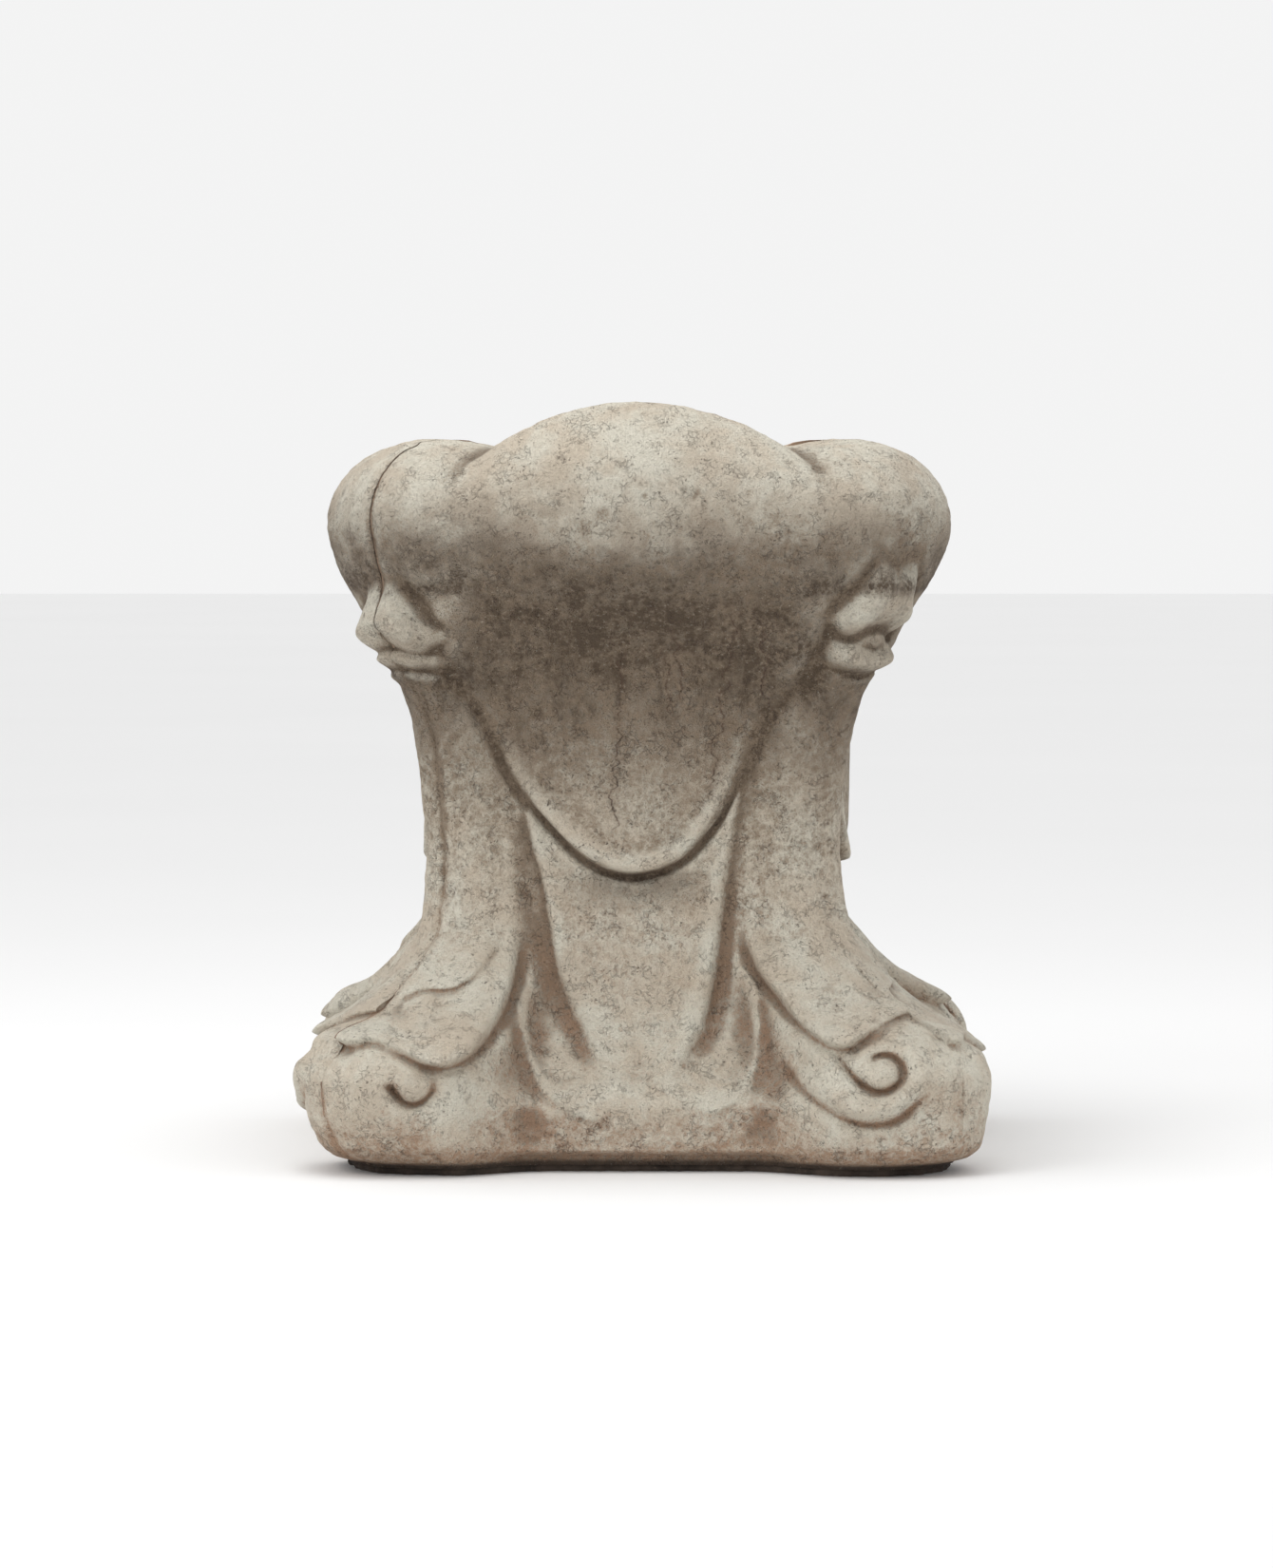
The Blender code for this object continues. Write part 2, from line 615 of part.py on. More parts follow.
def main():
    """Builds every piece of the font."""
    clear_scene()
    front = material("cast_stone_front", (0.56, 0.49, 0.41), 0.9)
    back = material("cast_stone_back", (0.52, 0.45, 0.38), 0.9)
    mortar = material("lime_mortar", (0.40, 0.31, 0.25), 0.95)
    bronze = material("bronze", (0.36, 0.25, 0.12), 0.5, 1.0)
    brass = material("brass", (0.72, 0.52, 0.25), 0.35, 1.0)
    copper = material("copper", (0.62, 0.34, 0.22), 0.4, 1.0)
    rubber = material("rubber", (0.05, 0.045, 0.04), 0.7)
    body = font_mesh("font_body")
    cutters = fixings(bronze)
    castings(body, {"casting_front_right": front, "casting_back_left": back}, cutters)
    joint_mortar(body, mortar, cutters)
    bed_mortar(mortar)
    washer("basin_bedding", mortar, WELL_R + 0.006, FLANGE_R - 0.003, LEDGE_Z + GAP, FLANGE_Z - GAP)
    basin(brass)
    waste(brass, copper, rubber)
    plug(brass, rubber)


main()
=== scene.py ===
"""Looks of the baptismal font: carved cast stone, mortar, spun brass basin and its plug.

Frame: metres, +Z up, -Y the front, the origin on the floor under the middle of the font.
"""
import math

import bmesh
import bpy
import numpy as np
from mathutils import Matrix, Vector


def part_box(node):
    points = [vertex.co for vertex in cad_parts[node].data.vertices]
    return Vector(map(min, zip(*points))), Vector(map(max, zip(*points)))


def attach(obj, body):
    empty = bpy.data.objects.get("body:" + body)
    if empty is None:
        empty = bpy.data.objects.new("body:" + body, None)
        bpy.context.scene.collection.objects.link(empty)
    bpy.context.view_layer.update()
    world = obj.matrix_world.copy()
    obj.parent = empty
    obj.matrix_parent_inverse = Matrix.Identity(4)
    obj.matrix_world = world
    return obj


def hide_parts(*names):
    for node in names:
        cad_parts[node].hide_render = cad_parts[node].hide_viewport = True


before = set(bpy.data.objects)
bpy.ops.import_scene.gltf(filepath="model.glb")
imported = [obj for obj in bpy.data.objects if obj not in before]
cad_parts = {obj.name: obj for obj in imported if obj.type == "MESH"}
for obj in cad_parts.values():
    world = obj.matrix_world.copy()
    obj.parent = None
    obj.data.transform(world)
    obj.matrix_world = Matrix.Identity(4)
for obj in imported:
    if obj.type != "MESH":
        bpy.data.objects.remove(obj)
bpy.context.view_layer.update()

# Camera, a long lens in front of the font ----------------------------------------------
EYE = 0.847               # height of the camera
DISTANCE = 7.935          # from the camera to the font's axis
CAMERA_AT = (-0.002, -DISTANCE, EYE)
CAMERA_AIM = (-0.002, 0.0, 0.439)
LENS = 150.3

# Fineness of the carved surface -------------------------------------------------------
COLUMNS = 210             # even steps across one face, from diagonal to diagonal
NEAR_JOINT = (0.0030, 0.0065)   # extra columns next to the joint, as shares of half a face
ROW_STEP = 0.0020         # spacing of the rows up the outside
FLAT_SHARE = 0.74         # share of a face's columns on its straight part

# Sizes shared with the solids ---------------------------------------------------------
STONE_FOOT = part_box("casting_front_right")[0].z
BOWL_START = 0.620
BELLY = 0.738
LEDGE_Z = 0.812
LEDGE_OUT = 0.254
WELL_R = 0.222
WELL_FLOOR = 0.640
BORE_R = 0.030
JOINT = 0.0036
GAP = 0.0003              # left between pieces that touch
WASTE_HOLE = 0.0193
SEAM_Z = 0.7435           # brazed seam between the basin's hoop and dish

# Inside of the castings, from the ledge down the well and the bore: (radius, height)
INSIDE = [
    (LEDGE_OUT - 0.004, LEDGE_Z), (WELL_R + 0.004, LEDGE_Z), (WELL_R, LEDGE_Z - 0.004),
    (WELL_R, WELL_FLOOR + 0.050), (WELL_R - 0.016, WELL_FLOOR + 0.014), (WELL_R - 0.050, WELL_FLOOR),
    (BORE_R + 0.002, WELL_FLOOR), (BORE_R, WELL_FLOOR - 0.002), (BORE_R, STONE_FOOT),
]

# Plan of the font by height: (height, half width of the block, corner radius)
PLAN = [
    (0.000, 0.357, 0.100), (0.012, 0.378, 0.095), (0.030, 0.390, 0.090),
    (0.070, 0.396, 0.090), (0.105, 0.395, 0.088), (0.135, 0.384, 0.085),
    (0.158, 0.364, 0.078), (0.180, 0.328, 0.070), (0.205, 0.299, 0.062),
    (0.235, 0.274, 0.056), (0.270, 0.253, 0.052), (0.320, 0.242, 0.052),
    (0.370, 0.239, 0.052), (0.430, 0.243, 0.052), (0.480, 0.248, 0.052),
    (0.525, 0.258, 0.054), (0.560, 0.273, 0.058), (0.590, 0.290, 0.070),
    (0.620, 0.306, 0.090), (0.655, 0.328, 0.130), (0.690, 0.352, 0.165),
    (0.738, 0.369, 0.190),
]
# Middle of the bowl and of the apron that hangs from it: (height, front and back, sides)
APRON_FACE = [
    (0.300, 0.250, 0.250), (0.343, 0.254, 0.254), (0.420, 0.256, 0.256),
    (0.500, 0.260, 0.258), (0.560, 0.270, 0.264), (0.600, 0.286, 0.276),
    (0.640, 0.317, 0.301), (0.690, 0.364, 0.344), (0.738, 0.394, 0.369),
]
# Middle of the hollow between two legs: (height, distance from the axis)
HOLLOW_FACE = [
    (0.000, 0.306), (0.011, 0.309), (0.018, 0.325), (0.070, 0.327), (0.110, 0.298),
    (0.160, 0.260), (0.220, 0.240), (0.300, 0.235), (0.450, 0.235), (0.600, 0.250),
]
# Where the hollow turns into the leg: (height, from, to)
TURN = [
    (0.000, 0.120, 0.235), (0.105, 0.125, 0.240), (0.160, 0.110, 0.220),
    (0.230, 0.095, 0.190), (0.320, 0.100, 0.178), (0.560, 0.110, 0.190),
]
# Drawn lines on a face, as (distance to the right of its middle, height).
# Lower edge of the apron, left to right
APRON_EDGE = [
    (-0.260, 0.700), (-0.236, 0.650), (-0.220, 0.615), (-0.206, 0.590), (-0.182, 0.542),
    (-0.162, 0.498), (-0.142, 0.459), (-0.118, 0.423), (-0.090, 0.387), (-0.059, 0.359),
    (-0.023, 0.3435), (0.009, 0.3435), (0.049, 0.359), (0.080, 0.391), (0.108, 0.431),
    (0.128, 0.466), (0.144, 0.506), (0.163, 0.541), (0.194, 0.586), (0.2095, 0.628),
    (0.225, 0.665), (0.245, 0.700),
]
# Outline of the pointed tongue under the apron, left to right
TONGUE_EDGE = [
    (-0.142, 0.480), (-0.128, 0.415), (-0.120, 0.375), (-0.110, 0.3355), (-0.102, 0.276),
    (-0.0904, 0.2163), (-0.0705, 0.1647), (-0.0507, 0.117), (-0.033, 0.0915), (-0.006, 0.082),
    (0.018, 0.089), (0.034, 0.104), (0.050, 0.129), (0.0725, 0.1647), (0.0864, 0.2084),
    (0.0923, 0.2481), (0.0983, 0.2958), (0.1042, 0.3355), (0.112, 0.375), (0.120, 0.415),
    (0.134, 0.480),
]
TONGUE_GROOVE_LEFT = [
    (-0.140, 0.410), (-0.1321, 0.3752), (-0.1300, 0.3156), (-0.1222, 0.2759), (-0.1102, 0.2243),
    (-0.0944, 0.1766), (-0.0760, 0.1369), (-0.0606, 0.1110),
]
TONGUE_GROOVE_RIGHT = [
    (0.118, 0.385), (0.112, 0.340), (0.1082, 0.2958), (0.1042, 0.2362), (0.0963, 0.1885),
    (0.0815, 0.1488), (0.0606, 0.1200),
]
TONGUE_RIM_RIGHT = [
    (0.0965, 0.375), (0.0900, 0.320), (0.0850, 0.270), (0.0780, 0.220), (0.0620, 0.170),
    (0.0420, 0.132), (0.0240, 0.108),
]
# Thin ridge from the apron down the inner side of each leg, hooking under a small ball
HOOK_LEFT = [
    (-0.156, 0.430), (-0.151, 0.350), (-0.1490, 0.290), (-0.1440, 0.2362), (-0.1405, 0.190),
    (-0.1370, 0.155), (-0.1320, 0.125), (-0.1200, 0.098), (-0.1007, 0.0790), (-0.0788, 0.0645),
    (-0.0569, 0.0585), (-0.0382, 0.0640),
]
HOOK_RIGHT = [
    (0.133, 0.420), (0.137, 0.350), (0.1390, 0.290), (0.1362, 0.2463), (0.1350, 0.200),
    (0.1347, 0.165), (0.1320, 0.130), (0.1234, 0.1020), (0.1042, 0.0800), (0.0800, 0.0670),
    (0.0560, 0.0690),
]
# Lower edge of the leaf over a foot, in the order of growing distance to the right
LEAF_LEFT = [
    (-0.392, 0.157), (-0.372, 0.157), (-0.345, 0.149), (-0.319, 0.1535), (-0.300, 0.1515),
    (-0.2759, 0.1399), (-0.2447, 0.1274), (-0.2196, 0.1290), (-0.1946, 0.1415), (-0.1696, 0.1697),
    (-0.1520, 0.2009), (-0.1435, 0.2260), (-0.1405, 0.2520), (-0.1390, 0.2900),
]
LEAF_RIGHT = [
    (0.1330, 0.2900), (0.1345, 0.2600), (0.1380, 0.2440), (0.1459, 0.2239), (0.1651, 0.1982),
    (0.1811, 0.1758), (0.2004, 0.1597), (0.2200, 0.1490), (0.2389, 0.1480), (0.2549, 0.1565),
    (0.2709, 0.1660), (0.2966, 0.1800), (0.3158, 0.1822), (0.3383, 0.1760), (0.3543, 0.1650),
    (0.372, 0.157), (0.392, 0.157),
]
LEAF_FOLD = [
    (-0.2978, 0.1728), (-0.2853, 0.1870), (-0.2728, 0.1990), (-0.2509, 0.2070), (-0.2196, 0.2080),
    (-0.2009, 0.2166), (-0.1883, 0.2260), (-0.1696, 0.2479), (-0.1600, 0.2650),
]
# The scroll of a right foot, and the worn curl of a left one
SCROLL_GROOVE = [
    (0.2228, 0.1400), (0.2325, 0.1245), (0.2421, 0.1116), (0.2549, 0.1004), (0.2693, 0.0940),
    (0.2838, 0.0956), (0.2950, 0.1052), (0.2982, 0.1180), (0.2934, 0.1293), (0.2822, 0.1357),
    (0.2693, 0.1347), (0.2620, 0.1261),
]
SCROLL_BAND = [
    (0.1747, 0.1212), (0.1940, 0.1052), (0.2164, 0.0892), (0.2421, 0.0764), (0.2709, 0.0747),
    (0.2966, 0.0860), (0.3126, 0.1052), (0.3158, 0.1277), (0.3062, 0.1469), (0.2870, 0.1549),
    (0.2645, 0.1501),
]
SCROLL_FOOT = [
    (0.1600, 0.1300), (0.1680, 0.1130), (0.1843, 0.0924), (0.2068, 0.0764), (0.2325, 0.0619),
    (0.2645, 0.0555), (0.2902, 0.0603), (0.3126, 0.0796), (0.3238, 0.1020),
]
CURL_GROOVE = [
    (-0.2978, 0.1080), (-0.2931, 0.0990), (-0.2869, 0.0900), (-0.2775, 0.0821), (-0.2665, 0.0795),
    (-0.2540, 0.0850), (-0.2440, 0.0960), (-0.2420, 0.1102), (-0.2460, 0.1200),
]
CURL_TOP = [
    (-0.345, 0.1300), (-0.322, 0.1385), (-0.295, 0.1340), (-0.272, 0.1240), (-0.256, 0.1110),
]
# Crown of the rim by angle from the front: (degrees, height, radius)
CROWN = [
    (0.0, 0.900, 0.300), (7.0, 0.898, 0.300), (15.5, 0.888, 0.301), (20.0, 0.880, 0.302),
    (24.6, 0.869, 0.304), (29.3, 0.854, 0.306), (32.5, 0.8455, 0.308), (35.0, 0.8475, 0.312),
    (40.0, 0.853, 0.322), (47.0, 0.856, 0.332), (60.0, 0.852, 0.304), (90.0, 0.850, 0.268),
]
# Height of a bracket's upper pad: (distance from the face's middle, height)
PAD_RISE = [(0.215, 0.010), (0.236, 0.026), (0.256, 0.040), (0.285, 0.054), (0.330, 0.056)]
# Round bosses and hollows: (middle, size, rise)
TONGUE_BOSSES = [((-0.0480, 0.0950), 0.0185, 0.0060), ((0.0480, 0.0930), 0.0155, 0.0068)]
SCROLL_BOSSES = [
    ((0.2760, 0.1185), 0.0085, 0.0055), ((0.2665, 0.1090), 0.0070, 0.0035),
    ((0.1550, 0.0960), 0.0190, -0.0070), ((0.3350, 0.1250), 0.0350, 0.0060),
    ((-0.2680, 0.1010), 0.0150, 0.0095), ((-0.3280, 0.1000), 0.0420, 0.0110),
    ((-0.3350, 0.1640), 0.0160, 0.0080), ((-0.1950, 0.0520), 0.0300, -0.0045),
]
# Sideways wander of the hand-finished body: (height, shift along X)
WANDER = [
    (0.00, 0.007), (0.12, 0.006), (0.25, -0.003), (0.45, -0.006), (0.62, -0.003), (0.75, 0.002),
]
# Drips and cracks down the front: (x, height) at the top, then at the foot
CRACKS = [
    ((-0.018, 0.600), (-0.031, 0.392)), ((0.041, 0.628), (0.054, 0.545)),
    ((0.112, 0.650), (0.084, 0.430)), ((0.146, 0.632), (0.149, 0.545)),
    ((0.030, 0.602), (0.040, 0.525)),
]
POCKS = [
    (0.001, 0.803), (0.006, 0.791), (0.038, 0.806), (0.053, 0.798), (0.068, 0.794), (0.063, 0.788),
]


# Helpers ------------------------------------------------------------------------------
def smooth(low, high, x):
    """0 below low, 1 above high, and an even S curve between."""
    t = np.clip((x - low) / (high - low), 0.0, 1.0)
    return t * t * (3.0 - 2.0 * t)


def through(table, x, column=1):
    """Smooth curve through the rows of a table, level beyond both ends."""
    rows = np.asarray(table, float)
    xs = rows[:, 0]
    ys = rows[:, column]
    slope = np.diff(ys) / np.diff(xs)
    before = slope[:-1]
    after = slope[1:]
    rising = before * after > 0
    tangent = np.zeros_like(ys)
    total = np.where(rising, before + after, 1.0)
    tangent[1:-1] = np.where(rising, 2.0 * before * after / total, 0.0)
    x = np.clip(x, xs[0], xs[-1])
    i = np.clip(np.searchsorted(xs, x) - 1, 0, len(xs) - 2)
    span = xs[i + 1] - xs[i]
    t = (x - xs[i]) / span
    return ((1 + 2 * t) * (1 - t) ** 2 * ys[i] + t * (1 - t) ** 2 * span * tangent[i]
            + t * t * (3 - 2 * t) * ys[i + 1] + t * t * (t - 1) * span * tangent[i + 1])


def bump(x, middle, width):
    """A rounded ridge, 1 at its middle."""
    return np.exp(-((x - middle) / width) ** 2)


def drawn(points, steps=6):
    """A smooth line through given points."""
    p = np.asarray(points, float)
    p = np.concatenate([2 * p[:1] - p[1:2], p, 2 * p[-1:] - p[-2:-1]])
    line = []
    for a, b, c, d in zip(p, p[1:], p[2:], p[3:]):
        for i in range(steps):
            t = i / steps
            line.append(0.5 * (2 * b + (c - a) * t + (2 * a - 5 * b + 4 * c - d) * t * t
                               + (3 * b - a - 3 * c + d) * t ** 3))
    line.append(p[-2])
    return np.array(line)


def beside(points, s, h, reach):
    """Distance to a drawn line, plus on its left, and how far along it, 0 to 1."""
    line = drawn(points)
    off = np.full(s.shape, 1.0)
    place = np.zeros(s.shape)
    low = line.min(axis=0) - reach
    high = line.max(axis=0) + reach
    near = (s > low[0]) & (s < high[0]) & (h > low[1]) & (h < high[1])
    ps = s[near]
    ph = h[near]
    best = np.full(ps.shape, 1.0)
    best_side = np.ones(ps.shape)
    best_place = np.zeros(ps.shape)
    count = len(line) - 1
    for i in range(count):
        a = line[i]
        step = line[i + 1] - a
        t = np.clip(((ps - a[0]) * step[0] + (ph - a[1]) * step[1]) / (step @ step), 0.0, 1.0)
        ds = ps - a[0] - t * step[0]
        dh = ph - a[1] - t * step[1]
        gap = np.hypot(ds, dh)
        closer = gap < best
        best = np.where(closer, gap, best)
        best_side = np.where(closer, np.where(step[0] * dh - step[1] * ds < 0, -1.0, 1.0), best_side)
        best_place = np.where(closer, (i + t) / count, best_place)
    off[near] = best * best_side
    place[near] = best_place
    return off, place


def above_line(points, s, h, reach=0.11):
    """Signed distance above a line that never doubles back, with how far along it."""
    off, place = beside(points, s, h, reach)
    over = np.where(h > through(points, s), 1.0, -1.0)
    far = np.minimum(np.abs(off), reach)
    return np.where(far < 0.012, off, over * far), place


def stroke(points, s, h, width, fade=0.12):
    """Strength about a drawn line, fading at its ends, and how far along it."""
    off, place = beside(points, s, h, width * 3.2)
    return np.exp(-(off / width) ** 2) * ends(place, fade), place


def ends(place, fade):
    """1 along a line, easing to 0 at both of its ends."""
    return smooth(0.0, fade, place) * (1.0 - smooth(1.0 - fade, 1.0, place))


def spot(s, h, middle, size):
    """A round boss, 1 at its middle."""
    return np.exp(-((s - middle[0]) ** 2 + (h - middle[1]) ** 2) / size ** 2)


def bosses(table, s, h):
    """Round bosses and hollows from rows of (middle, size, rise)."""
    return sum(rise * spot(s, h, middle, size) for middle, size, rise in table)


def lattice(points, scale, seed):
    """Smooth value noise in space, about -1 to 1."""
    p = points * scale + 31.7
    cell = np.floor(p).astype(np.int64)
    t = p - cell
    t = t * t * (3 - 2 * t)
    total = np.zeros(p.shape[:-1])
    for corner in range(8):
        offset = np.array([corner & 1, (corner >> 1) & 1, (corner >> 2) & 1])
        c = cell + offset
        mixed = (c[..., 0] * 73856093 ^ c[..., 1] * 19349663 ^ c[..., 2] * 83492791 ^ seed * 2654435761)
        mixed = (mixed ^ (mixed >> 13)) * 1274126177
        mixed = (mixed ^ (mixed >> 16)) & 0xFFFFFF
        value = mixed / float(0x7FFFFF) - 1.0
        weight = np.prod(np.where(offset == 1, t, 1 - t), axis=-1)
        total += value * weight
    return total


def blurred(grid, radius):
    """Box blur of a grid, run twice each way."""
    out = grid
    for axis in (0, 1):
        for _ in range(2):
            pad = [(0, 0)] * out.ndim
            pad[axis] = (radius + 1, radius)
            total = np.cumsum(np.pad(out, pad, mode="edge"), axis=axis)
            size = grid.shape[axis]
            high = np.take(total, np.arange(2 * radius + 1, 2 * radius + 1 + size), axis=axis)
            low = np.take(total, np.arange(0, size), axis=axis)
            out = (high - low) / (2 * radius + 1)
    return out


# The plain form under the carving -----------------------------------------------------
def outline(along, height, front, sheet):
    """A face's outline at a height: across it, out from the axis, and the way it faces."""
    half = through(PLAN, height, 1)
    radius = through(PLAN, height, 2)
    straight = half - radius
    share = np.minimum(np.abs(along) / FLAT_SHARE, 1.0)
    turn = np.maximum((np.abs(along) - FLAT_SHARE) / (1.0 - FLAT_SHARE), 0.0) * math.pi / 4
    across = straight * share + radius * np.sin(turn)
    if sheet == "apron":
        middle = np.where(front, through(APRON_FACE, height, 1), through(APRON_FACE, height, 2))
        rise = (middle - half) * (1.0 - smooth(0.0, straight, across))
    else:
        middle = through(HOLLOW_FACE, height)
        start = np.minimum(through(TURN, height, 1), straight * 0.6)
        stop = np.minimum(through(TURN, height, 2), straight)
        rise = (middle - half) * (1.0 - smooth(start, stop, across))
    out = straight + radius * np.cos(turn) + np.where(turn > 0, 0.0, rise)
    return np.sign(along) * across, out, turn * np.sign(along)


def crown_angle(x, y):
    """Angle from the nearer of the front and the back, 0 to 90 degrees."""
    return np.degrees(np.arctan2(np.abs(x), np.abs(y)))


def belly_height(x, y):
    """The corners are widest a little higher up than the faces."""
    diagonal = np.sin(np.radians(2.0 * crown_angle(x, y))) ** 2
    return BELLY + 0.026 * diagonal


def roll(x, y, part):
    """From the belly (0) over the crown (1) and down to the ledge (2)."""
    angle = crown_angle(x, y)
    top = through(CROWN, angle, 1)
    crest = through(CROWN, angle, 2)
    radius = np.hypot(x, y)
    belly = belly_height(x, y)
    outer = np.minimum(part, 1.0) * math.pi / 2
    inner = np.maximum(part - 1.0, 0.0) * math.pi / 2
    rising = part <= 1.0
    new = np.where(rising, crest + (radius - crest) * np.cos(outer),
                   crest - (crest - LEDGE_OUT) * np.sin(inner))
    z = np.where(rising, belly + (top - belly) * np.sin(outer),
                 LEDGE_Z + (top - LEDGE_Z) * np.cos(inner))
    return x * new / radius, y * new / radius, z


# Carving ------------------------------------------------------------------------------
def apron_carving(s, h, above):
    """Rolled lip along the apron's edge and the undercut below it."""
    side = smooth(-0.05, 0.05, s)
    fade = smooth(0.37, 0.52, h) * (1 - side) + smooth(0.36, 0.46, h) * side
    lip = 0.0050 * bump(above, 0.0105, 0.0085) - 0.0020 * bump(above, 0.031, 0.013)
    cut = -0.0052 * bump(above, -0.0060, 0.0055)
    top = 1.0 - smooth(0.595, 0.640, h)
    return top * (1.0 - 0.85 * fade) * (lip + cut)


def valley_carving(h, above):
    """Hollow between the apron's edge and the brackets at the top of the legs."""
    high = smooth(0.520, 0.585, h) * (1.0 - smooth(0.650, 0.690, h))
    return -0.0075 * bump(above, -0.014, 0.014) * high


def leaf_carving(s, h):
    """Leaf that drapes over the flare of a leg and curls up over the scroll."""
    total = 0.0
    for line, left in ((LEAF_LEFT, True), (LEAF_RIGHT, False)):
        above, place = above_line(line, s, h)
        own = s < 0 if left else s > 0
        grown = 1.0 - smooth(0.80, 0.99, place) if left else smooth(0.01, 0.20, place)
        a = np.abs(s)
        tip = smooth(0.240, 0.285, a)
        length = 0.095 - 0.062 * tip
        grown = grown * (1.0 - 0.60 * smooth(0.335, 0.378, a))
        cover = smooth(-0.0045, 0.0055, above) * (1.0 - smooth(0.010, length, above))
        lip = bump(above, 0.0080, 0.0075)
        cut = bump(above, -0.0070, 0.0065) * (1.0 - smooth(0.335, 0.372, a))
        thick = 0.0150 - 0.0065 * tip
        total = total + own * grown * (thick * cover + 0.0036 * lip - (0.0100 - 0.0060 * tip) * cut)
    fold, place = beside(LEAF_FOLD, s, h, 0.06)
    step = 0.0042 * smooth(-0.0015, 0.0040, fold) * (1.0 - smooth(0.008, 0.040, fold))
    line = -0.0036 * bump(fold, -0.0035, 0.0045)
    return total + (step + line) * ends(place, 0.16)


def tongue_carving(s, h, above_apron):
    """Pointed tongue under the apron, between two grooves and two hooked ridges."""
    below = 1.0 - smooth(-0.012, -0.001, above_apron)
    above, place = above_line(TONGUE_EDGE, s, h)
    sides = 1.0 - 0.55 * bump(place, 0.47, 0.10)
    within = 1.0 - smooth(0.118, 0.134, np.abs(s))
    total = 0.0066 * smooth(-0.0050, 0.0045, above) * sides * within
    total = total + 0.0022 * bump(above, 0.0060, 0.0048) * (s < 0) * sides * within
    rim, _ = stroke(TONGUE_RIM_RIGHT, s, h, 0.0100)
    total = total + 0.0042 * rim
    groove, place = stroke(TONGUE_GROOVE_LEFT, s, h, 0.0120)
    total = total - 0.0062 * groove * (0.30 + 0.70 * smooth(0.10, 0.70, place))
    groove, place = stroke(TONGUE_GROOVE_RIGHT, s, h, 0.0090)
    total = total - 0.0078 * groove * (0.15 + 0.85 * smooth(0.15, 0.70, place))
    for line, outward in ((HOOK_LEFT, -1.0), (HOOK_RIGHT, 1.0)):
        off, place = beside(line, s, h, 0.05)
        low = smooth(0.30, 0.46, place)
        ridge = 0.0018 + 0.0026 * low
        wide = 0.0085 - 0.0038 * low
        total = total + ridge * bump(off, 0.0, wide) * ends(place, 0.14)
        beyond = bump(off * outward, 0.0115, 0.0090) * low * (1.0 - smooth(0.60, 0.80, place))
        total = total - 0.0040 * beyond
    return below * (total + bosses(TONGUE_BOSSES, s, h))


def scroll_carving(s, h):
    """The scrolls on a foot: a full one on the right and a worn curl on the left."""
    groove, place = stroke(SCROLL_GROOVE, s, h, 0.0048, 0.06)
    total = -0.0125 * groove * (1.0 - 0.4 * smooth(0.75, 1.0, place))
    band, _ = stroke(SCROLL_BAND, s, h, 0.0125, 0.20)
    total = total + 0.0115 * band
    under, _ = stroke(SCROLL_FOOT, s, h, 0.0058, 0.20)
    total = total - 0.0080 * under
    groove, place = stroke(CURL_GROOVE, s, h, 0.0048, 0.15)
    total = total - 0.0135 * groove * (1.0 - 0.55 * smooth(0.45, 0.9, place))
    top, _ = stroke(CURL_TOP, s, h, 0.0170, 0.20)
    return total + 0.0080 * top + bosses(SCROLL_BOSSES, s, h)


def bracket_carving(s, h, x):
    """Stacked curled ledges under each corner of the bowl."""
    a = np.abs(s)
    right = smooth(-0.10, 0.10, x)
    lip = 0.6190 + 0.045 * (a - 0.27) + 0.0040 * np.sin(a * 95.0) + 0.0190 * right
    rise = through(PAD_RISE, a)
    share = (h - lip) / rise
    to_corner = smooth(0.290, 0.350, a)
    proud = (0.0290 - 0.0075 * right) * smooth(0.214, 0.262, a) * (1.0 - 0.30 * to_corner)
    first = proud * smooth(-0.26, 0.30, share) * (1.0 - smooth(0.26, 1.08, share))
    pinch = -0.0018 * bump(share, 1.10, 0.20) * smooth(0.235, 0.275, a)
    cut = -0.0060 * bump(h - lip, -0.0095, 0.0060) * smooth(0.220, 0.245, a)
    edge = (0.5925 + 0.12 * (a - 0.25)) * (1.0 - right) + (0.5910 - 0.30 * (a - 0.245)) * right
    wide = smooth(0.200, 0.258, a) * (1.0 - 0.25 * to_corner)
    up = h - edge
    second = (0.0135 + 0.0045 * right) * wide * smooth(-0.0085, 0.0065, up)
    second = second * (1.0 - smooth(0.007, 0.032, up))
    below = -0.0040 * bump(up, -0.0085, 0.0050) * wide
    up = up + 0.0165
    third = 0.0080 * (1.0 - 0.7 * right) * wide * smooth(-0.008, 0.003, up) * (1.0 - smooth(0.003, 0.016, up))
    mass = 0.0070 * (1.0 - right) * smooth(0.225, 0.270, a) * bump(h, 0.600, 0.035)
    return first + pinch + cut + second + below + third + mass


def leg_carving(s, h, above, x):
    """The legs swell between the hollow and the corner."""
    a = np.abs(s)
    swell = bump(a, 0.192, 0.034) * smooth(0.20, 0.30, h) * (1.0 - smooth(0.50, 0.60, h))
    foot = (1.0 - smooth(0.0, 0.075, h)) * smooth(0.20, 0.28, a)
    roll_back = bump(h, 0.184, 0.018) * smooth(0.25, 0.31, a) * smooth(-0.10, 0.10, x)
    waist = bump(h, 0.140, 0.012) * smooth(0.27, 0.33, a) * smooth(0.10, -0.10, x)
    worn = 0.0110 * (roll_back - waist) + foot * (-0.0130 + 0.0210 * smooth(-0.15, 0.10, x))
    return 0.0060 * swell * (1.0 - smooth(-0.020, 0.0, above)) + worn


def joint_carving(corner, x, y):
    """Soft arris on both sides of the open joint."""
    on_joint = np.sign(x) == np.sign(y)
    return -0.0022 * np.exp(-(corner / 0.0055) ** 2) * on_joint


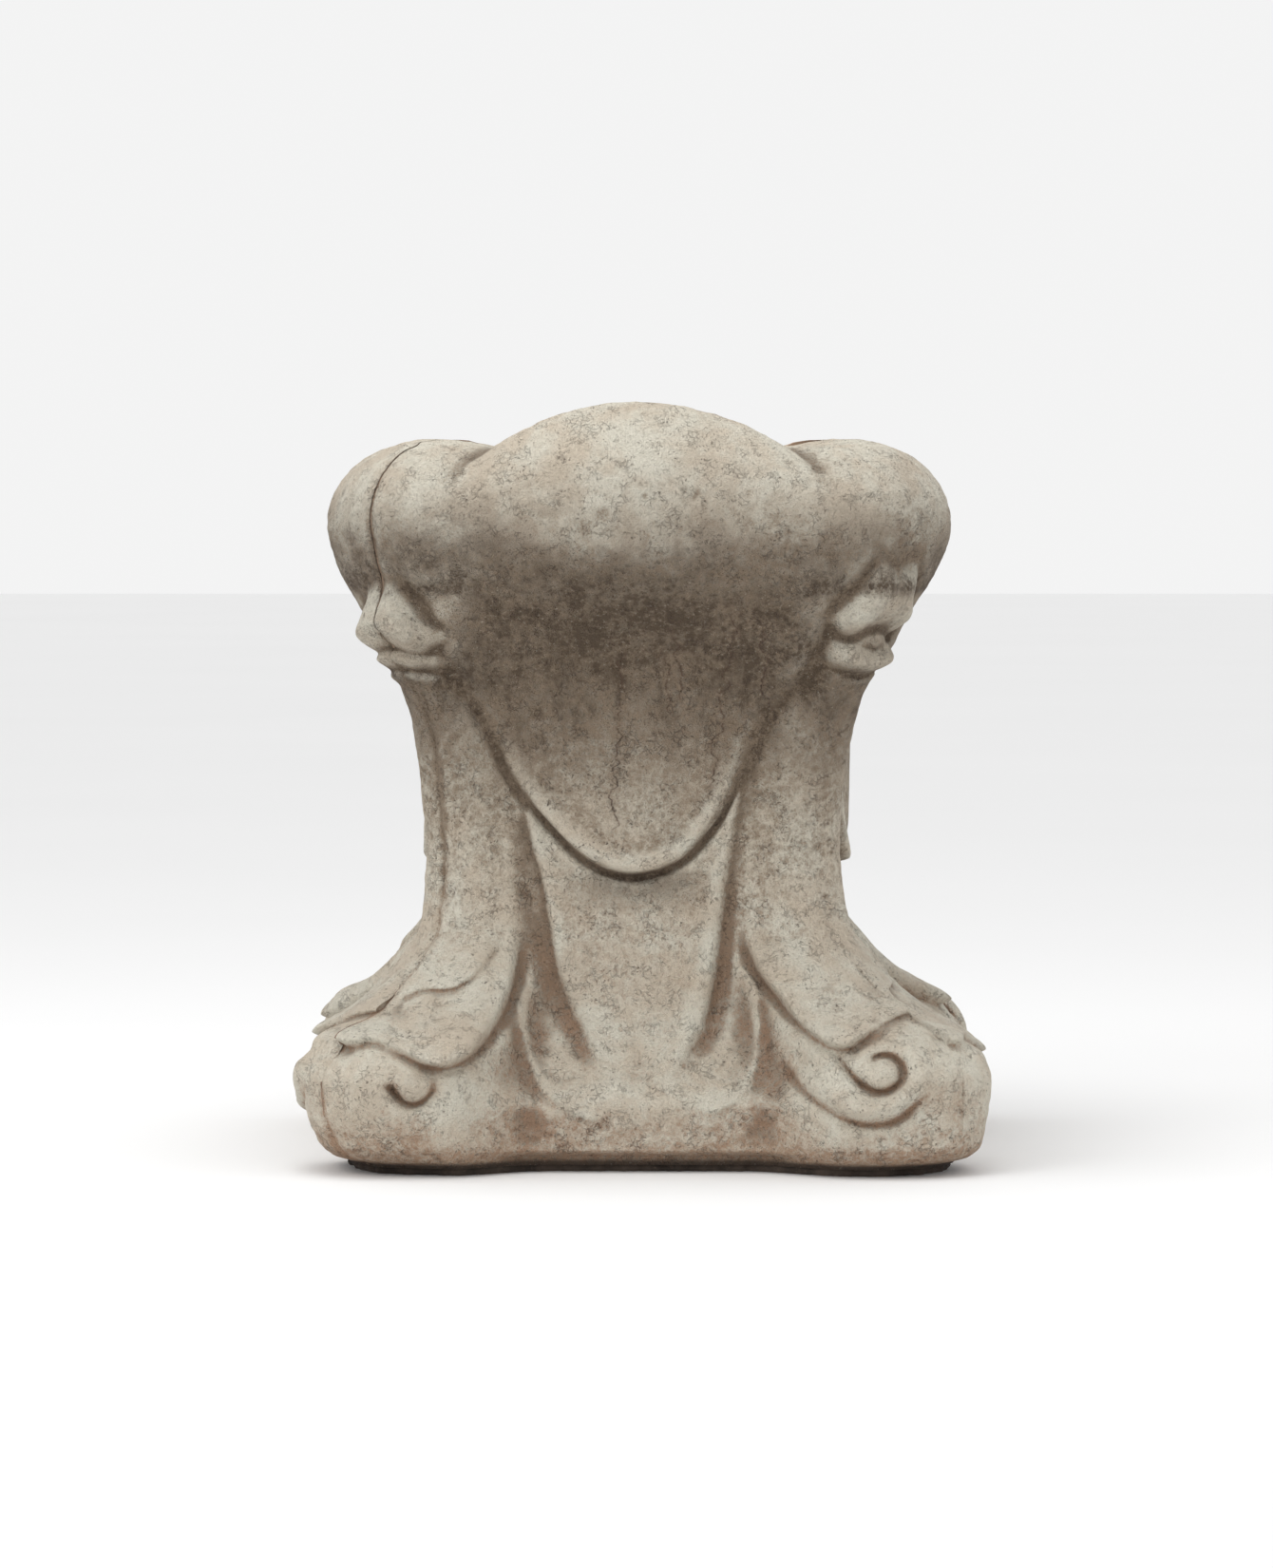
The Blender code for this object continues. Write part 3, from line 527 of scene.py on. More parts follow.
# Growing the surface ------------------------------------------------------------------
def rows():
    """(height, part) of each row: up the outside, over the crown and in to the ledge."""
    up = np.linspace(0.0, BELLY, int(round(BELLY / ROW_STEP)) + 1)
    over = np.concatenate([np.linspace(0.0, 1.0, 61)[1:], np.linspace(1.0, 2.0, 25)[1:]])
    height = np.concatenate([up, np.full(len(over), BELLY)])
    part = np.concatenate([np.zeros(len(up)), over])
    return height, part


def columns():
    """Places across a face, -1 to 1, closer together next to both diagonals."""
    even = np.linspace(-1.0, 1.0, COLUMNS + 1)
    extra = [-1.0 + d for d in NEAR_JOINT] + [1.0 - d for d in NEAR_JOINT]
    return np.unique(np.concatenate([even, extra]))


def carved(faces):
    """The carved outside over two faces, as a grid of points."""
    height, part = rows()
    across = columns()
    along = np.concatenate([across[:-1], across])
    face = np.concatenate([np.full(len(across) - 1, faces[0]), np.full(len(across), faces[1])])
    h, t = np.meshgrid(height, along, indexing="ij")
    p = np.broadcast_to(part[:, None], h.shape)
    f = np.broadcast_to(face[None, :], h.shape)
    front = f % 2 == 0
    s, leg_out, turn = outline(t, h, front, "leg")
    _, apron_out, _ = outline(t, h, front, "apron")
    above, _ = above_line(APRON_EDGE, s, h)
    side = smooth(-0.05, 0.05, s)
    soft = smooth(0.40, 0.52, h) * side + smooth(0.46, 0.60, h) * (1.0 - side)
    hung = smooth(-1.0, 1.0, (above - 0.0005) / (0.0040 + 0.0140 * soft))
    hung = np.maximum(hung, smooth(0.600, 0.640, h))
    out = leg_out + (apron_out - leg_out) * hung
    angle = f * math.pi / 2
    plain_x = s * np.cos(angle) + out * np.sin(angle)
    plain_y = s * np.sin(angle) - out * np.cos(angle)
    corner = corner_distance(t, h)
    carving = (apron_carving(s, h, above) + valley_carving(h, above) + leaf_carving(s, h)
               + tongue_carving(s, h, above) + scroll_carving(s, h) + bracket_carving(s, h, plain_x)
               + leg_carving(s, h, above, plain_x))
    carving = np.where(p > 0, 0.0, carving)
    carving = carving + joint_carving(corner, plain_x, plain_y)
    wide = s + carving * np.sin(turn)
    out = out + carving * np.cos(turn)
    x = wide * np.cos(angle) + out * np.sin(angle)
    y = wide * np.sin(angle) - out * np.cos(angle)
    z = h + STONE_FOOT * np.maximum(0.0, 1.0 - h / BOWL_START)
    belly = belly_height(x, y)
    lifted = BOWL_START + (h - BOWL_START) * (belly - BOWL_START) / (BELLY - BOWL_START)
    z = np.where(h > BOWL_START, lifted, z)
    rx, ry, rz = roll(x, y, p)
    rolled = p > 0
    x = np.where(rolled, rx, x)
    y = np.where(rolled, ry, y)
    z = np.where(rolled, rz, z)
    return weathered(np.stack([x, y, z], axis=-1), corner, f, s), s


def corner_distance(t, h):
    """Distance along the outline from the nearer diagonal."""
    half = through(PLAN, h, 1)
    radius = through(PLAN, h, 2)
    left = 1.0 - np.abs(t)
    arc = radius * math.pi / 4
    on_arc = np.minimum(left / (1.0 - FLAT_SHARE), 1.0) * arc
    on_flat = np.maximum(left - (1.0 - FLAT_SHARE), 0.0) / FLAT_SHARE * (half - radius)
    return on_arc + on_flat


def weathered(points, corner, face, s):
    """Hand-finished unevenness, creases between the rim's lobes, worn chips and small pocks."""
    z = points[..., 2]
    radius = np.hypot(points[..., 0], points[..., 1])
    way = np.stack([points[..., 0] / radius, points[..., 1] / radius, np.zeros_like(z)], axis=-1)
    way[..., 2] = smooth(0.80, 0.86, z) * 0.8
    low = 0.0020 * lattice(points, 7.0, 1) + 0.0012 * lattice(points, 19.0, 2)
    fine = 0.00090 * lattice(points, 60.0, 3) + 0.00075 * lattice(points, 140.0, 4)
    foot = 0.0014 * lattice(points, 90.0, 5) * (1.0 - smooth(0.02, 0.11, z))
    dents = -0.0012 * smooth(0.50, 0.85, lattice(points, 42.0, 6))
    crease = -0.0018 * bump(crown_angle(points[..., 0], points[..., 1]), 32.5, 2.2) * smooth(0.800, 0.850, z)
    shelf = 0.0016 * bump(z, 0.796, 0.006) * bump(points[..., 0], 0.245, 0.050)
    pocks = np.zeros_like(z)
    for at in POCKS:
        pocks = pocks - 0.0022 * spot(s, z, at, 0.0042) * (face == 0)
    chips = -0.0022 * np.exp(-(corner / 0.0085) ** 2) * smooth(0.35, 0.80, lattice(points, 33.0, 7))
    outside = smooth(LEDGE_OUT, LEDGE_OUT + 0.02, radius)
    move = (low + fine + foot + dents + crease + shelf + pocks + chips) * outside
    points = points + way * move[..., None]
    points[..., 0] += through(WANDER, z) * outside
    return points


def signals(points):
    """Colouring values: ridges (plus) and hollows (minus) at two scales."""
    du = np.gradient(points, axis=1)
    dv = np.gradient(points, axis=0)
    normal = np.cross(du, dv)
    normal = normal / (np.linalg.norm(normal, axis=-1, keepdims=True) + 1e-12)
    small = np.sum((points - blurred(points, 3)) * normal, axis=-1)
    broad = np.sum((points - blurred(points, 9)) * normal, axis=-1)
    return np.clip(small / 0.0022, -1, 1), np.clip(broad / 0.0065, -1, 1)


def square_of_joint():
    """Unit vector square to the joint, towards the back left casting."""
    return np.array([-1.0, 1.0, 0.0]) / math.sqrt(2.0)


def casting(name, faces, side):
    """One carved half of the font, closed on the inside."""
    points, _ = carved(faces)
    small, broad = signals(points)
    count = points.shape[1]
    ledge = points[-1]
    around = np.unwrap(np.arctan2(ledge[:, 1], ledge[:, 0]))
    inside = []
    for radius, z in INSIDE:
        inside.append(np.stack([radius * np.cos(around), radius * np.sin(around), np.full(count, z)], axis=1))
    grid = np.concatenate([points, np.array(inside)])
    small = np.concatenate([small, np.zeros((len(inside), count))])
    broad = np.concatenate([broad, np.full((len(inside), count), -0.2)])
    square = square_of_joint()
    for column in (0, count - 1):
        off = grid[:, column] @ square
        grid[:, column] += np.outer(side * JOINT / 2 - off, square)
    total = grid.shape[0]
    vertex = np.arange(total * count).reshape(total, count)
    above = np.roll(vertex, -1, axis=0)
    quads = np.stack([vertex[:, :-1], vertex[:, 1:], above[:, 1:], above[:, :-1]], axis=-1).reshape(-1, 4)
    mesh = bpy.data.meshes.new(name)
    joint_faces = [vertex[::-1, 0].tolist(), vertex[:, count - 1].tolist()]
    mesh.from_pydata(grid.reshape(-1, 3).tolist(), [], quads.tolist() + joint_faces)
    mesh.update()
    for title, values in (("small", small), ("broad", broad)):
        layer = mesh.attributes.new(title, "FLOAT", "POINT")
        layer.data.foreach_set("value", values.astype(np.float32).ravel())
    smooth_faces = np.ones(len(mesh.polygons), bool)
    smooth_faces[-len(joint_faces):] = False
    mesh.polygons.foreach_set("use_smooth", smooth_faces)
    return mesh, points


def bed_mesh(name, outline_points):
    """Ragged bed of mortar, set back a little under the foot's edge."""
    x = outline_points[:, 0]
    y = outline_points[:, 1]
    around = np.arctan2(y, x)
    radius = np.hypot(x, y) - 0.0045
    rough = 0.0012 * np.sin(around * 61.0) + 0.0010 * np.sin(around * 143.0 + 2.0)
    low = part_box("bed_mortar")[0].z
    top = STONE_FOOT - GAP
    rings = [(radius - 0.0030 + rough, low), (radius + rough, (low + top) / 2), (radius - 0.0015 + rough, top),
             (np.full(len(x), BORE_R + 0.004), top), (np.full(len(x), BORE_R + 0.004), low)]
    points = np.stack([np.stack([r * np.cos(around), r * np.sin(around), np.full(len(x), z)], axis=1)
                       for r, z in rings])
    return ring_mesh(name, points)


def ring_mesh(name, points):
    """Closed mesh from rows of points that each go once around; the last row joins the first."""
    rows_count, count = points.shape[:2]
    index = np.arange(rows_count * count).reshape(rows_count, count)
    after = np.roll(index, -1, axis=0)
    quads = np.stack([index, np.roll(index, -1, axis=1), np.roll(after, -1, axis=1), after], axis=-1)
    mesh = bpy.data.meshes.new(name)
    mesh.from_pydata(points.reshape(-1, 3).tolist(), [], quads.reshape(-1, 4).tolist())
    mesh.update()
    return shaded(mesh)


def shaded(mesh):
    """Shades a mesh smooth but for its sharp edges."""
    mesh.shade_smooth()
    mesh.set_sharp_from_angle(angle=math.radians(40))
    return mesh


def joint_filling(name, edge, out):
    """Mortar in the joint: it follows the carved outline a little below the surface."""
    square = square_of_joint()
    way = out * np.array([1.0, 1.0, 0.0]) / math.sqrt(2.0)
    flat = edge - np.outer(edge @ square, square)
    reach = flat @ way
    height = flat[:, 2]
    crown = int(np.argmax(height))
    keep = np.arange(0, crown + 12, 3)
    wobble = 0.0006 * np.sin(height * 160.0) + 0.0005 * np.sin(height * 410.0 + 1.0)
    reach_in = reach - 0.0005 - np.abs(wobble)
    low = height - 0.0006 * smooth(0.80, 0.86, height)
    half = JOINT / 2 - 0.0002
    build = bmesh.new()
    rings = []
    for i in keep:
        deep = max(reach_in[i] - 0.030, LEDGE_OUT - 0.010 if height[i] > LEDGE_Z else 0.05)
        corners = []
        for r in (reach_in[i], deep):
            for side in (-half, half):
                at = way * r + square * side
                corners.append(build.verts.new((at[0], at[1], low[i])))
        rings.append(corners)
    for a, b in zip(rings, rings[1:]):
        for i, j in ((0, 1), (1, 3), (3, 2), (2, 0)):
            build.faces.new((a[i], a[j], b[j], b[i]))
    for end in (rings[0], rings[-1]):
        build.faces.new((end[0], end[1], end[3], end[2]))
    bmesh.ops.recalc_face_normals(build, faces=build.faces)
    mesh = bpy.data.meshes.new(name)
    build.to_mesh(mesh)
    build.free()
    return shaded(mesh)


# Node helpers -------------------------------------------------------------------------
class Shader:
    """Builds a Principled material node by node."""

    def __init__(self, name):
        self.material = bpy.data.materials.new(name)
        self.material.use_nodes = True
        self.tree = self.material.node_tree
        self.main = self.tree.nodes["Principled BSDF"]
        self.place = self.add("ShaderNodeTexCoord").outputs["Object"]

    def add(self, kind, **values):
        """Adds a node and sets its own properties."""
        made = self.tree.nodes.new(kind)
        for key, value in values.items():
            setattr(made, key, value)
        return made

    def feed(self, socket, value):
        """Links a socket, or sets a plain value."""
        if isinstance(value, bpy.types.NodeSocket):
            self.tree.links.new(value, socket)
        elif isinstance(value, (tuple, list)) and len(value) == 3 and socket.type == "RGBA":
            socket.default_value = (*value, 1.0)
        else:
            socket.default_value = value

    def scaled(self, scale):
        """Coordinates stretched by a factor along each axis."""
        made = self.add("ShaderNodeMapping")
        self.feed(made.inputs["Vector"], self.place)
        made.inputs["Scale"].default_value = scale
        return made.outputs["Vector"]

    def noise(self, scale, detail=3.0, rough=0.55, place=None, twist=0.0):
        """Cloudy noise, 0 to 1."""
        made = self.add("ShaderNodeTexNoise")
        self.feed(made.inputs["Vector"], place or self.place)
        made.inputs["Scale"].default_value = scale
        made.inputs["Detail"].default_value = detail
        made.inputs["Roughness"].default_value = rough
        made.inputs["Distortion"].default_value = twist
        return made.outputs["Fac"]

    def noise_line(self, along, seed):
        """Noise along one measure, 0 to 1."""
        made = self.add("ShaderNodeTexNoise", noise_dimensions="1D")
        self.feed(made.inputs["W"], self.maths("ADD", along, seed))
        made.inputs["Scale"].default_value = 1.0
        made.inputs["Detail"].default_value = 3.0
        return made.outputs["Fac"]

    def cells(self, scale, place, feature="F1"):
        """Distance in cell noise."""
        made = self.add("ShaderNodeTexVoronoi", feature=feature)
        self.feed(made.inputs["Vector"], place)
        made.inputs["Scale"].default_value = scale
        return made.outputs["Distance"]

    def maths(self, operation, a, b=0.0, clamp=False):
        """One arithmetic step."""
        made = self.add("ShaderNodeMath", operation=operation, use_clamp=clamp)
        self.feed(made.inputs[0], a)
        self.feed(made.inputs[1], b)
        return made.outputs[0]

    def plus(self, a, b):
        """a + b."""
        return self.maths("ADD", a, b)

    def minus(self, a, b):
        """a - b."""
        return self.maths("SUBTRACT", a, b)

    def times(self, a, b, clamp=False):
        """a times b."""
        return self.maths("MULTIPLY", a, b, clamp)

    def between(self, value, low, high, to_low=0.0, to_high=1.0):
        """Maps a range smoothly."""
        made = self.add("ShaderNodeMapRange", interpolation_type="SMOOTHSTEP")
        self.feed(made.inputs["Value"], value)
        made.inputs["From Min"].default_value = low
        made.inputs["From Max"].default_value = high
        made.inputs["To Min"].default_value = to_low
        made.inputs["To Max"].default_value = to_high
        return made.outputs["Result"]

    def mixed(self, share, a, b):
        """Mixes two colours."""
        made = self.add("ShaderNodeMix", data_type="RGBA", blend_type="MIX")
        self.feed(made.inputs["Factor"], share)
        self.feed(made.inputs[6], a)
        self.feed(made.inputs[7], b)
        return made.outputs[2]

    def value(self, name):
        """Reads a value stored on the mesh."""
        return self.add("ShaderNodeAttribute", attribute_name=name).outputs["Fac"]

    def axis(self, name, vector=None):
        """One coordinate of the place, or of another vector."""
        made = self.add("ShaderNodeSeparateXYZ")
        self.feed(made.inputs[0], vector or self.place)
        return made.outputs[name]

    def raised(self, height, distance, strength=1.0, below=None):
        """A bump layer."""
        made = self.add("ShaderNodeBump")
        made.inputs["Strength"].default_value = strength
        made.inputs["Distance"].default_value = distance
        self.feed(made.inputs["Height"], height)
        if below is not None:
            self.feed(made.inputs["Normal"], below)
        return made.outputs["Normal"]

    def finish(self, colour, roughness, normal=None, metallic=0.0):
        """Feeds the Principled shader."""
        self.feed(self.main.inputs["Base Color"], colour)
        self.feed(self.main.inputs["Roughness"], roughness)
        self.feed(self.main.inputs["Metallic"], metallic)
        if normal is not None:
            self.feed(self.main.inputs["Normal"], normal)
        return self.material


LIME = (0.790, 0.745, 0.625)
LIME_WARM = (0.690, 0.595, 0.470)
BARE = (0.440, 0.280, 0.182)
BARE_COOL = (0.305, 0.230, 0.160)
# dark dirt for pits and grit, also painted as shade under the bowl, in hollows and under the apron's lip
DIRT_AND_SHADE = (0.105, 0.073, 0.046)
CRACK = (0.105, 0.064, 0.042)
# dark foot band: dirt and painted shade under the stone's edge
SOIL_AND_SHADE = (0.045, 0.030, 0.021)


def crack_lines(m, wobble):
    """Thin dark drips and cracks down the front."""
    x = m.axis("X")
    z = m.axis("Z")
    front = m.between(m.axis("Y"), -0.18, -0.22)
    total = None
    for i, (top, foot) in enumerate(CRACKS):
        lean = (foot[0] - top[0]) / (foot[1] - top[1])
        line = m.plus(m.times(m.minus(z, top[1]), lean), top[0])
        wander = m.noise_line(m.times(z, 38.0), i * 7.3)
        line = m.plus(line, m.times(m.minus(wander, 0.5), 0.030))
        off = m.maths("ABSOLUTE", m.minus(x, line))
        thin = m.between(off, 0.0016, 0.0003)
        halo = m.between(off, 0.0085, 0.0)
        mark = m.plus(m.times(thin, 0.75), m.times(halo, 0.28))
        reach = m.times(m.between(z, foot[1] - 0.01, foot[1] + 0.02),
                        m.between(z, top[1] + 0.02, top[1] - 0.01))
        mark = m.times(mark, reach)
        total = mark if total is None else m.maths("MAXIMUM", total, mark)
    total = m.times(total, front)
    return m.times(total, m.between(wobble, 0.30, 0.55))


def stone_material(name):
    """Limewashed cast stone: pale on ridges and tops, brown and gritty in hollows, with light and shade
    painted in as well: paler tops, crown and ledges; darker hollows, corners, belly underside, foot and a
    shadow under the apron's lip.
    """
    m = Shader(name)
    small = m.value("small")
    broad = m.value("broad")
    height = m.axis("Z")
    up = m.axis("Z", m.add("ShaderNodeNewGeometry").outputs["Normal"])
    clouds = m.noise(5.0, 4.0, 0.6)
    patches = m.noise(15.0, 5.0, 0.65, twist=0.4)
    grains = m.noise(430.0, 3.0, 0.7)
    flecks = m.noise(110.0, 4.0, 0.75)
    grit = m.noise(240.0, 4.0, 0.75)
    streaks = m.noise(1.0, 4.0, 0.6, place=m.scaled((48.0, 48.0, 4.0)))
    warp = m.add("ShaderNodeTexNoise")
    m.feed(warp.inputs["Vector"], m.place)
    warp.inputs["Scale"].default_value = 75.0
    warp.inputs["Detail"].default_value = 3.0
    shift = m.add("ShaderNodeVectorMath", operation="SCALE")
    m.feed(shift.inputs[0], warp.outputs["Color"])
    shift.inputs["Scale"].default_value = 0.016
    warped = m.add("ShaderNodeVectorMath", operation="ADD")
    m.feed(warped.inputs[0], m.place)
    m.feed(warped.inputs[1], shift.outputs[0])
    # share of lime left on the stone, with painted light and shade in it: upward faces, the crown and the
    # bracket ledges painted paler as if lit from above, hollows and the bowl's corners painted darker as shade
    corner = m.between(m.maths("ABSOLUTE", m.times(m.axis("X"), m.axis("Y"))), 0.052, 0.080)
    # the bracket ledges at the corners, whose lit tops get a painted highlight
    ledges = m.times(corner, m.times(m.between(height, 0.575, 0.600),
                                                m.between(height, 0.690, 0.662)))
    # by curvature: ridges paler and hollows browner, partly the limewash's wear and partly painted light on
    # ridges and painted shade in hollows
    shape = m.plus(m.times(small, 0.38), m.times(broad, 0.46))
    left = m.times(shape, m.between(height, 0.015, 0.070))
    # painted light: faces turned up painted paler and faces turned down darker, as if lit from above
    left = m.plus(left, m.between(up, -0.50, 0.70, -0.30, 0.30))
    left = m.plus(left, m.times(m.minus(clouds, 0.5), 0.55))
    left = m.plus(left, m.times(m.minus(patches, 0.5), 0.75))
    left = m.plus(left, m.between(flecks, 0.36, 0.64, -0.20, 0.20))
    left = m.plus(left, m.between(grit, 0.36, 0.64, -0.22, 0.22))
    left = m.plus(left, m.between(height, 0.008, 0.080, -0.26, 0.10))
    left = m.plus(left, m.between(height, 0.200, 0.520, 0.14, -0.26))
    # painted light: paler towards the crown, as if lit from above
    left = m.plus(left, m.between(height, 0.650, 0.850, 0.0, 0.36))
    # painted shade: the bowl's corners painted darker from a height of 0.69 up
    left = m.minus(left, m.times(corner, m.between(height, 0.690, 0.740, 0.0, 0.34)))
    # painted highlight on the lit tops of the bracket ledges
    left = m.plus(left, m.times(ledges, 0.40))
    seam = m.between(m.maths("ABSOLUTE", m.minus(m.axis("X"), m.axis("Y"))), 0.016, 0.003)
    left = m.minus(left, m.times(seam, 0.42))
    share = m.between(left, -0.72, 0.54)
    lime = m.mixed(m.between(patches, 0.35, 0.65), LIME, LIME_WARM)
    bare = m.mixed(m.between(height, 0.10, 0.42), BARE, BARE_COOL)
    colour = m.mixed(share, bare, lime)
    # dark band under the bowl, dirt and painted shade under the belly; dirt streaks running down the apron;
    # painted shade in the hollows and a painted shadow under the apron's lip
    # dirt and painted shade under the belly, which light from above reaches less
    band = m.times(m.between(height, 0.380, 0.660), m.between(height, 0.860, 0.650))
    band = m.times(band, m.between(clouds, 0.30, 0.62, 0.72, 1.12))
    run = m.times(m.between(height, 0.370, 0.600), m.between(height, 0.72, 0.65))
    run = m.times(run, m.between(streaks, 0.44, 0.66))
    dirt_and_shade = m.plus(m.times(band, 0.86), m.times(run, 0.30))
    # less dirt and painted shade on the lit bracket ledges
    dirt_and_shade = m.times(dirt_and_shade, m.between(ledges, 0.0, 1.0, 1.0, 0.30))
    # painted shade in the hollows and grooves
    hollows = m.between(m.plus(m.times(small, 0.8), broad), -0.20, -1.15)
    dirt_and_shade = m.plus(dirt_and_shade, m.times(hollows, 0.34))
    # painted shadow just under the apron's lip, in the middle of each face
    aside = m.maths("MINIMUM", m.maths("ABSOLUTE", m.axis("X")), m.maths("ABSOLUTE", m.axis("Y")))
    shade = m.times(m.between(aside, 0.105, 0.015), m.between(height, 0.290, 0.338))
    shade = m.times(shade, m.between(height, 0.351, 0.345))
    dirt_and_shade = m.plus(dirt_and_shade, m.times(shade, 0.62))
    uneven = m.plus(m.plus(flecks, patches), m.times(grit, 0.5))
    dirt_and_shade = m.times(dirt_and_shade, m.between(uneven, 0.98, 1.48, 0.38, 1.28), clamp=True)
    colour = m.mixed(dirt_and_shade, colour, DIRT_AND_SHADE)
    # dark band at the recessed foot: dirt and painted shade under the stone's edge
    colour = m.mixed(m.between(height, 0.018, 0.011, 0.0, 0.9), colour, SOIL_AND_SHADE)
    # fine cracks in the limewash, pits and dark grit
    crackle = m.cells(135.0, warped.outputs[0], "DISTANCE_TO_EDGE")
    line = m.times(m.between(crackle, 0.105, 0.030), m.between(m.noise(45.0, 4.0, 0.7), 0.51, 0.62))
    pits = m.between(m.cells(170.0, warped.outputs[0]), 0.28, 0.14)
    pits = m.times(pits, m.between(m.noise(33.0, 3.0), 0.50, 0.64))
    specks = m.between(grit, 0.55, 0.62)
    colour = m.mixed(m.times(line, m.between(share, 0.2, 0.9, 0.40, 0.20)), colour, CRACK)
    colour = m.mixed(m.times(pits, 0.60), colour, DIRT_AND_SHADE)
    colour = m.mixed(m.times(specks, m.between(share, 0.15, 0.90, 0.62, 0.16)), colour, DIRT_AND_SHADE)
    cracks = crack_lines(m, flecks)
    colour = m.mixed(m.times(cracks, 0.85), colour, CRACK)
    pale = m.between(grit, 0.42, 0.30)
    colour = m.mixed(m.times(pale, 0.22), colour, LIME)
    normal = m.raised(m.noise(26.0, 4.0, 0.6), 0.0035, 0.35)
    normal = m.raised(flecks, 0.0065, 1.0, normal)
    normal = m.raised(grit, 0.0045, 1.0, normal)
    normal = m.raised(grains, 0.0005, 0.60, normal)
    normal = m.raised(m.minus(1.0, line), 0.0024, 1.0, normal)
    normal = m.raised(m.minus(1.0, m.maths("MAXIMUM", pits, cracks)), 0.0016, 0.8, normal)
    return m.finish(colour, m.between(share, 0.0, 1.0, 0.95, 0.84), normal)


def mortar_material(name, colour):
    """Gritty mortar."""
    m = Shader(name)
    grit = m.noise(260.0, 4.0, 0.7)
    patches = m.noise(22.0, 4.0, 0.6)
    dark = tuple(c * 0.45 for c in colour)
    pale = tuple(min(1.0, c * 1.35) for c in colour)
    tone = m.mixed(m.between(patches, 0.35, 0.65), dark, colour)
    tone = m.mixed(m.between(grit, 0.55, 0.75), tone, pale)
    normal = m.raised(grit, 0.0010, 0.8)
    normal = m.raised(m.noise(60.0, 3.0), 0.0025, 0.6, normal)
    return m.finish(tone, 0.95, normal)


def metal_material(name, colour, roughness, tarnish, brushed=0.0):
    """Handled metal with tarnish in patches and fine turning marks."""
    m = Shader(name)
    stains = m.noise(28.0, 5.0, 0.65)
    spots = m.noise(120.0, 4.0, 0.7)
    share = m.between(m.plus(stains, m.times(spots, 0.35)), 0.55, 0.85)
    tone = m.mixed(share, colour, tarnish)
    radius = m.add("ShaderNodeVectorMath", operation="LENGTH")
    m.feed(radius.inputs[0], m.scaled((1.0, 1.0, 0.0)))
    rings = m.noise_line(m.times(radius.outputs["Value"], 900.0), 0.0)
    normal = m.raised(rings, 0.0003, brushed)
    normal = m.raised(stains, 0.0012, 0.25, normal)
    rough = m.between(share, 0.0, 1.0, roughness, min(0.9, roughness + 0.30))
    return m.finish(tone, rough, normal, metallic=1.0)


def rubber_material(name):
    """Matt rubber with a chalky bloom."""
    m = Shader(name)
    bloom = m.noise(90.0, 4.0, 0.6)
    tone = m.mixed(m.between(bloom, 0.45, 0.75), (0.022, 0.021, 0.020), (0.075, 0.070, 0.064))
    return m.finish(tone, m.between(bloom, 0.3, 0.7, 0.55, 0.80), m.raised(bloom, 0.0004, 0.4))


# Pieces -------------------------------------------------------------------------------
def piece(name, mesh, material, body, slot, *nodes):
    """Links a finished mesh with its material, hides the parts it stands for and parents it to the body it
    moves with.
    """
    made = bpy.data.objects.new(name, mesh)
    bpy.context.scene.collection.objects.link(made)
    mesh.materials.clear()
    mesh.materials.append(material)
    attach(made, body)
    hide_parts(*nodes)
    return made


def turned(name, profile, sides=160):
    """A closed turned shape; the profile goes once around the section."""
    angle = 2 * math.pi * np.arange(sides) / sides
    r = np.array([p[0] for p in profile])[:, None]
    z = np.array([p[1] for p in profile])[:, None]
    points = np.stack([r * np.cos(angle), r * np.sin(angle), z + 0.0 * angle], axis=-1)
    return ring_mesh(name, points)


def basin_profile():
    """Section of the basin: rolled flange edge, hoop, brazed seam and dish with spinning marks."""
    low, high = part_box("basin_flange")
    wall = high.z - low.z
    rim = high.x
    mouth = 0.214
    flat = 0.050
    floor_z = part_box("basin_dish")[0].z + wall
    drop = high.z - floor_z
    steps = 60
    bead_r = 0.0030
    inside = []
    for i in range(steps + 1):
        w = math.pi / 2 * i / steps
        r = flat + (mouth - flat) * math.cos(w)
        z = high.z - drop * math.sin(w)
        r -= 0.0020 * max(0.0, 1.0 - (w / 0.10)) ** 2
        seam = math.exp(-((z - SEAM_Z) / 0.0022) ** 2)
        ripple = 0.00025 * math.sin(w * 62.0)
        grow = 0.0006 * seam + ripple
        inside.append((r - grow * math.cos(w), z + grow * math.sin(w)))
    turns = [math.pi / 2 * i / steps for i in range(steps + 1)]
    outside = [(r + wall * math.cos(w), z - wall * math.sin(w)) for w, (r, z) in zip(turns, inside)]
    outside = [p for p in outside if p[1] < low.z - 0.001]
    bead = [(rim - bead_r + bead_r * math.cos(a), low.z + wall / 2 + bead_r * math.sin(a))
            for a in [math.radians(d) for d in range(-60, 200, 20)]]
    bead = [(min(r, rim + 0.0012), max(z, low.z)) for r, z in bead]
    profile = [(WASTE_HOLE, floor_z - wall)] + outside[::-1] + [(mouth + wall, low.z)] + bead
    return profile + [(rim - 0.0075, high.z), (mouth + 0.0060, high.z)] + inside + [(WASTE_HOLE, floor_z)]


